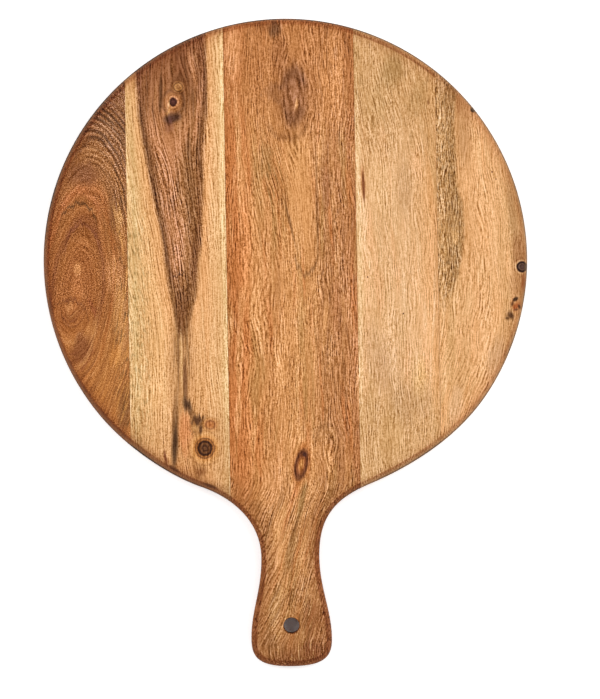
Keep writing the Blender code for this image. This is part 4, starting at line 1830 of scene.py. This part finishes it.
@dataclass(frozen=True)
class GrainRelief:
    """The faint unevenness of a sanded face: raised grain, and dents and checks at the knots."""

    height: float = 0.00003
    width: float = 0.005
    length: float = 0.045
    seed: float = 4.0
    flat_level: tuple[float, float] = (0.97, 0.999)
    sharp_angle: float = math.radians(20.0)

    def tree(self) -> bpy.types.NodeTree:
        """Builds the Geometry Nodes that move a face's points up and down.

        Returns:
            The node tree, with named inputs for its sizes.
        """
        tree = bpy.data.node_groups.new("grain_relief", "GeometryNodeTree")
        face = tree.interface
        face.new_socket("Geometry", in_out="INPUT", socket_type="NodeSocketGeometry")
        face.new_socket("Pits", in_out="INPUT", socket_type="NodeSocketObject")
        for name in ("Height", "Width", "Length", "Seed"):
            face.new_socket(name, in_out="INPUT", socket_type="NodeSocketFloat")
        face.new_socket("Wood", in_out="INPUT", socket_type="NodeSocketMaterial")
        face.new_socket("Geometry", in_out="OUTPUT", socket_type="NodeSocketGeometry")

        graph = NodeGraph(tree)
        given = graph.add("NodeGroupInput")
        sizes = {socket.name: Field(graph, socket) for socket in given.outputs if socket.name}
        position = graph.add("GeometryNodeInputPosition").outputs[0]
        x, y, z = graph.split(position)
        normal = graph.add("GeometryNodeInputNormal").outputs[0]
        _, _, facing_up = graph.split(normal)
        flat = graph.rise(abs(facing_up), *self.flat_level)
        place = graph.join(x / sizes["Width"], y / sizes["Length"], z / sizes["Width"] + sizes["Seed"])
        ripple = graph.noise(place, detail=1.0) * sizes["Height"]

        pits = graph.add("GeometryNodeObjectInfo")
        graph.feed(pits.inputs["Object"], sizes["Pits"])
        nearest = graph.add("GeometryNodeSampleNearest", domain="POINT")
        graph.feed(nearest.inputs["Geometry"], pits.outputs["Geometry"])
        values = {}
        for name, kind in (("position", "FLOAT_VECTOR"), ("pit_radius", "FLOAT"), ("pit_depth", "FLOAT")):
            reader = graph.add("GeometryNodeInputNamedAttribute", data_type=kind)
            reader.inputs["Name"].default_value = name
            sample = graph.add("GeometryNodeSampleIndex", data_type=kind, domain="POINT")
            graph.feed(sample.inputs["Geometry"], pits.outputs["Geometry"])
            graph.feed(sample.inputs["Value"], reader.outputs["Attribute"])
            graph.feed(sample.inputs["Index"], nearest.outputs["Index"])
            values[name] = Field(graph, sample.outputs["Value"])
        away = graph.add("ShaderNodeVectorMath", operation="DISTANCE")
        graph.feed(away.inputs[0], position)
        graph.feed(away.inputs[1], values["position"])
        distance = Field(graph, away.outputs["Value"])
        dent = graph.rise(distance, values["pit_radius"], 0.0) * values["pit_depth"]

        lift = graph.join(0.0, 0.0, (ripple - dent) * flat * facing_up)
        moved = graph.add("GeometryNodeSetPosition")
        graph.feed(moved.inputs["Geometry"], sizes["Geometry"])
        graph.feed(moved.inputs["Offset"], lift)
        real = graph.add("GeometryNodeRealizeInstances")
        graph.feed(real.inputs["Geometry"], moved.outputs["Geometry"])
        dressed = graph.add("GeometryNodeSetMaterial")
        graph.feed(dressed.inputs["Geometry"], real.outputs["Geometry"])
        graph.feed(dressed.inputs["Material"], sizes["Wood"])
        out = graph.add("NodeGroupOutput")
        graph.feed(out.inputs["Geometry"], dressed.outputs["Geometry"])
        return tree

    def pit_points(self, pits: Sequence[Pit], level: float) -> bpy.types.Object:
        """A helper object with one point for each pit.

        Args:
            pits: the pits.
            level: the height of the face that they are in.

        Returns:
            The helper, which is removed once the relief is made.
        """
        mesh = bpy.data.meshes.new("pit_points")
        mesh.from_pydata([(pit.x * MM, pit.y * MM, level) for pit in pits], [], [])
        for name, values in (
            ("pit_radius", [pit.radius * MM for pit in pits]),
            ("pit_depth", [pit.depth * MM for pit in pits]),
        ):
            attribute = mesh.attributes.new(name, "FLOAT", "POINT")
            attribute.data.foreach_set("value", values)
        helper = bpy.data.objects.new("pit_points", mesh)
        bpy.context.scene.collection.objects.link(helper)
        return helper

    def apply(
        self,
        piece: bpy.types.Object,
        tree: bpy.types.NodeTree,
        pits: bpy.types.Object,
        wood: bpy.types.Material,
    ) -> None:
        """Runs the tree on a piece and keeps the result as a plain mesh.

        Args:
            piece: the stave or glue line.
            tree: the relief's node tree.
            pits: the helper object with the pits.
            wood: the material that the piece gets.
        """
        modifier = piece.modifiers.new("grain_relief", "NODES")
        modifier.node_group = tree
        given = {
            "Pits": pits,
            "Height": self.height,
            "Width": self.width,
            "Length": self.length,
            "Seed": self.seed,
            "Wood": wood,
        }
        for item in tree.interface.items_tree:
            if item.in_out == "INPUT" and item.name in given:
                modifier[item.identifier] = given[item.name]
        bpy.context.view_layer.update()
        graph = bpy.context.evaluated_depsgraph_get()
        mesh = bpy.data.meshes.new_from_object(piece.evaluated_get(graph), depsgraph=graph)
        piece.modifiers.clear()
        piece.data = mesh
        mesh.name = piece.name
        mesh.shade_smooth()
        mesh.set_sharp_from_angle(angle=self.sharp_angle)


class Slot(Enum):
    """The board's finishes, by name; pieces with the same finish share one material."""

    RUSSET = "russet_heartwood"
    HEART_AND_SAP = "heart_and_sapwood"
    AMBER = "amber_heartwood"
    STRAW = "straw_sapwood"
    HONEY = "honey_sapwood"
    GLUE = "cured_glue"


@dataclass(frozen=True)
class Strip:
    """One piece of the glued panel: a stave or a glue line, between two planes across the board."""

    node: str
    name: str
    slot: Slot
    wood: Wood


@dataclass
class Panel:
    """The board itself: five staves and the glue between them."""

    low: Vector
    high: Vector
    relief: GrainRelief = GrainRelief()
    rim_reach: float = 0.01
    strips: tuple[Strip, ...] = (
        Strip("stave_left_outer", "left_outer_stave", Slot.RUSSET, RussetHeartwood()),
        Strip("glue_line_left_outer", "left_outer_glue", Slot.GLUE, CuredGlue()),
        Strip("stave_left_inner", "left_inner_stave", Slot.HEART_AND_SAP, HeartAndSapwood()),
        Strip("glue_line_left_inner", "left_inner_glue", Slot.GLUE, CuredGlue()),
        Strip("stave_handle", "handle_stave", Slot.AMBER, AmberHeartwood()),
        Strip("glue_line_right_inner", "right_inner_glue", Slot.GLUE, CuredGlue()),
        Strip("stave_right_inner", "right_inner_stave", Slot.STRAW, StrawSapwood()),
        Strip("glue_line_right_outer", "right_outer_glue", Slot.GLUE, CuredGlue()),
        Strip("stave_right_outer", "right_outer_stave", Slot.HONEY, HoneySapwood()),
    )
    pits: tuple[Pit, ...] = (
        Pit(-69.1, 100.9, 2.2, 0.45),
        Pit(-69.6, 90.8, 2.6, 0.2),
        Pit(-52.6, -117.2, 3.6, 0.3),
        Pit(-63.2, -90.5, 1.4, 0.2),
        Pit(7.4, -127.0, 2.4, 0.15),
        Pit(51.6, -11.3, 0.6, 0.3),
        Pit(73.7, -34.7, 0.6, 0.3),
        Pit(131.0, 53.5, 0.7, 0.3),
        Pit(144.6, -25.8, 1.5, 0.5),
    )

    def blank(self) -> Blank:
        """The undivided board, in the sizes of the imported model.

        Returns:
            The built blank.
        """
        outline = Outline(disc_radius=self.high.y, handle_end=-self.low.y)
        blank = Blank(outline, self.high.z - self.low.z, pits=self.pits)
        blank.build()
        return blank

    def build(self) -> None:
        """Cuts the pieces, gives them their relief and wood, and puts them in the nodes' places."""
        blank = self.blank()
        tree = self.relief.tree()
        pits = self.relief.pit_points(self.pits, self.high.z)
        woods: dict[Slot, bpy.types.Material] = {}
        for strip in self.strips:
            low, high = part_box(strip.node)
            left = low.x if low.x > self.low.x + MM else low.x - self.rim_reach
            right = high.x if high.x < self.high.x - MM else high.x + self.rim_reach
            piece = bpy.data.objects.new(strip.name, blank.slice(strip.name, left, right))
            bpy.context.scene.collection.objects.link(piece)
            if strip.slot not in woods:
                woods[strip.slot] = strip.wood.make()
            self.relief.apply(piece, tree, pits, woods[strip.slot])
            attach(piece, "root")
            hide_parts(strip.node)
            LOG.info("%s: %d faces", piece.name, len(piece.data.polygons))
        blank.shape.free()
        bpy.data.objects.remove(pits)
        bpy.data.node_groups.remove(tree)


@dataclass(frozen=True)
class Studio:
    """A pale floor, two soft lamps and a camera that looks straight down.

    The floor's lift to white is left out under the hanging hole, so that the hole looks grey.
    """

    image_width: int = 600
    image_height: int = 699
    pixel: float = 0.6296 * MM
    roll: float = math.radians(0.95)
    disc_at: tuple[float, float] = (285.4, 260.4)
    camera_height: float = 3.0
    sensor: float = 36.0
    floor_size: float = 8.0
    floor_gap: float = 0.0002
    floor_colour: Colour = (0.985, 0.985, 0.985)
    floor_lift: float = 0.4
    hole_y: float = -0.23
    hole_shade: tuple[float, float] = (0.01, 0.016)
    sky: float = 0.62
    lamp_size: float = 1.6
    lamp_distance: float = 2.6
    key_power: float = 24.5
    key_azimuth: float = 20.0
    fill_power: float = 18.5
    fill_azimuth: float = 160.0
    lamp_elevation: float = 50.0

    def seen(self, graph: NodeGraph) -> Field:
        """Whether a ray comes from the camera, straight or through gloss or glass.

        Args:
            graph: the material's or the world's nodes.

        Returns:
            1 where it does, and 0 for light that falls on the board.
        """
        path = graph.add("ShaderNodeLightPath")
        seen = Field(graph, path.outputs["Is Camera Ray"])
        for kind in ("Is Glossy Ray", "Is Transmission Ray"):
            seen = graph.math("MAXIMUM", seen, Field(graph, path.outputs[kind]))
        return seen

    def floor(self) -> None:
        """Lays the floor just under the board."""
        bpy.ops.mesh.primitive_plane_add(size=self.floor_size, location=(0.0, 0.0, 0.0))
        plane = bpy.context.object
        plane.name = "studio_floor"
        for vertex in plane.data.vertices:
            vertex.co.z -= self.floor_gap
        material = bpy.data.materials.new("floor_paper")
        material.use_nodes = True
        graph = NodeGraph(material.node_tree)
        shader = material.node_tree.nodes["Principled BSDF"]
        shader.inputs["Base Color"].default_value = (*self.floor_colour, 1.0)
        shader.inputs["Roughness"].default_value = 1.0
        shader.inputs["Specular IOR Level"].default_value = 0.0
        shader.inputs["Emission Color"].default_value = (1.0, 1.0, 1.0, 1.0)
        places = graph.add("ShaderNodeTexCoord")
        away = graph.add("ShaderNodeVectorMath", operation="DISTANCE")
        graph.feed(away.inputs[0], places.outputs["Object"])
        graph.feed(away.inputs[1], (0.0, self.hole_y, 0.0))
        open_floor = graph.rise(Field(graph, away.outputs["Value"]), *self.hole_shade)
        graph.feed(shader.inputs["Emission Strength"], open_floor * self.seen(graph) * self.floor_lift)
        plane.data.materials.append(material)
        plane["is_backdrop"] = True

    def lamp(self, name: str, azimuth: float, power: float) -> None:
        """Hangs a square lamp that faces the board.

        Args:
            name: the lamp's name.
            azimuth: its direction seen from above, in degrees from +X towards +Y.
            power: its power in watts.
        """
        data = bpy.data.lights.new(name, "AREA")
        data.size = self.lamp_size
        data.energy = power
        lamp = bpy.data.objects.new(name, data)
        turn, rise = math.radians(azimuth), math.radians(self.lamp_elevation)
        way = Vector((math.cos(turn) * math.cos(rise), math.sin(turn) * math.cos(rise), math.sin(rise)))
        lamp.location = way * self.lamp_distance
        lamp.rotation_euler = way.to_track_quat("Z", "Y").to_euler()
        bpy.context.scene.collection.objects.link(lamp)

    def light(self) -> None:
        """Sets an even sky and two lamps, the stronger one from the right."""
        world = bpy.data.worlds.new("studio_sky")
        world.use_nodes = True
        graph = NodeGraph(world.node_tree)
        background = world.node_tree.nodes["Background"]
        background.inputs["Color"].default_value = (1.0, 1.0, 1.0, 1.0)
        graph.feed(background.inputs["Strength"], self.seen(graph) * (1.0 - self.sky) + self.sky)
        bpy.context.scene.world = world
        self.lamp("key_lamp", self.key_azimuth, self.key_power)
        self.lamp("fill_lamp", self.fill_azimuth, self.fill_power)

    def camera(self, top: float) -> None:
        """Places the camera over the middle of the picture.

        Args:
            top: the height of the board's face, which the picture is in scale with.
        """
        data = bpy.data.cameras.new("camera")
        data.sensor_width = self.sensor
        data.sensor_fit = "AUTO"
        data.lens = self.sensor * self.camera_height / (self.image_height * self.pixel)
        camera = bpy.data.objects.new("camera", data)
        right = (self.image_width / 2 - self.disc_at[0]) * self.pixel
        down = (self.image_height / 2 - self.disc_at[1]) * self.pixel
        x = right * math.cos(self.roll) - down * math.sin(self.roll)
        y = -right * math.sin(self.roll) - down * math.cos(self.roll)
        camera.location = (x, y, top + self.camera_height)
        camera.rotation_euler = (0.0, 0.0, -self.roll)
        bpy.context.scene.collection.objects.link(camera)
        bpy.context.scene.camera = camera

    def build(self, top: float) -> None:
        """Sets up the floor, the light, the camera and the view.

        Args:
            top: the height of the board's face.
        """
        self.floor()
        self.light()
        self.camera(top)
        bpy.context.scene.view_settings.view_transform = "Standard"


def main() -> None:
    logging.basicConfig(level=logging.INFO, format="%(name)s: %(message)s")
    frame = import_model()
    LOG.info("frame with %d nodes", len(frame["nodes"]))
    cad_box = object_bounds()
    low, high = Vector(cad_box[0]), Vector(cad_box[1])
    Panel(low, high).build()
    Studio().build(high.z)


if __name__ == "__main__":
    main()
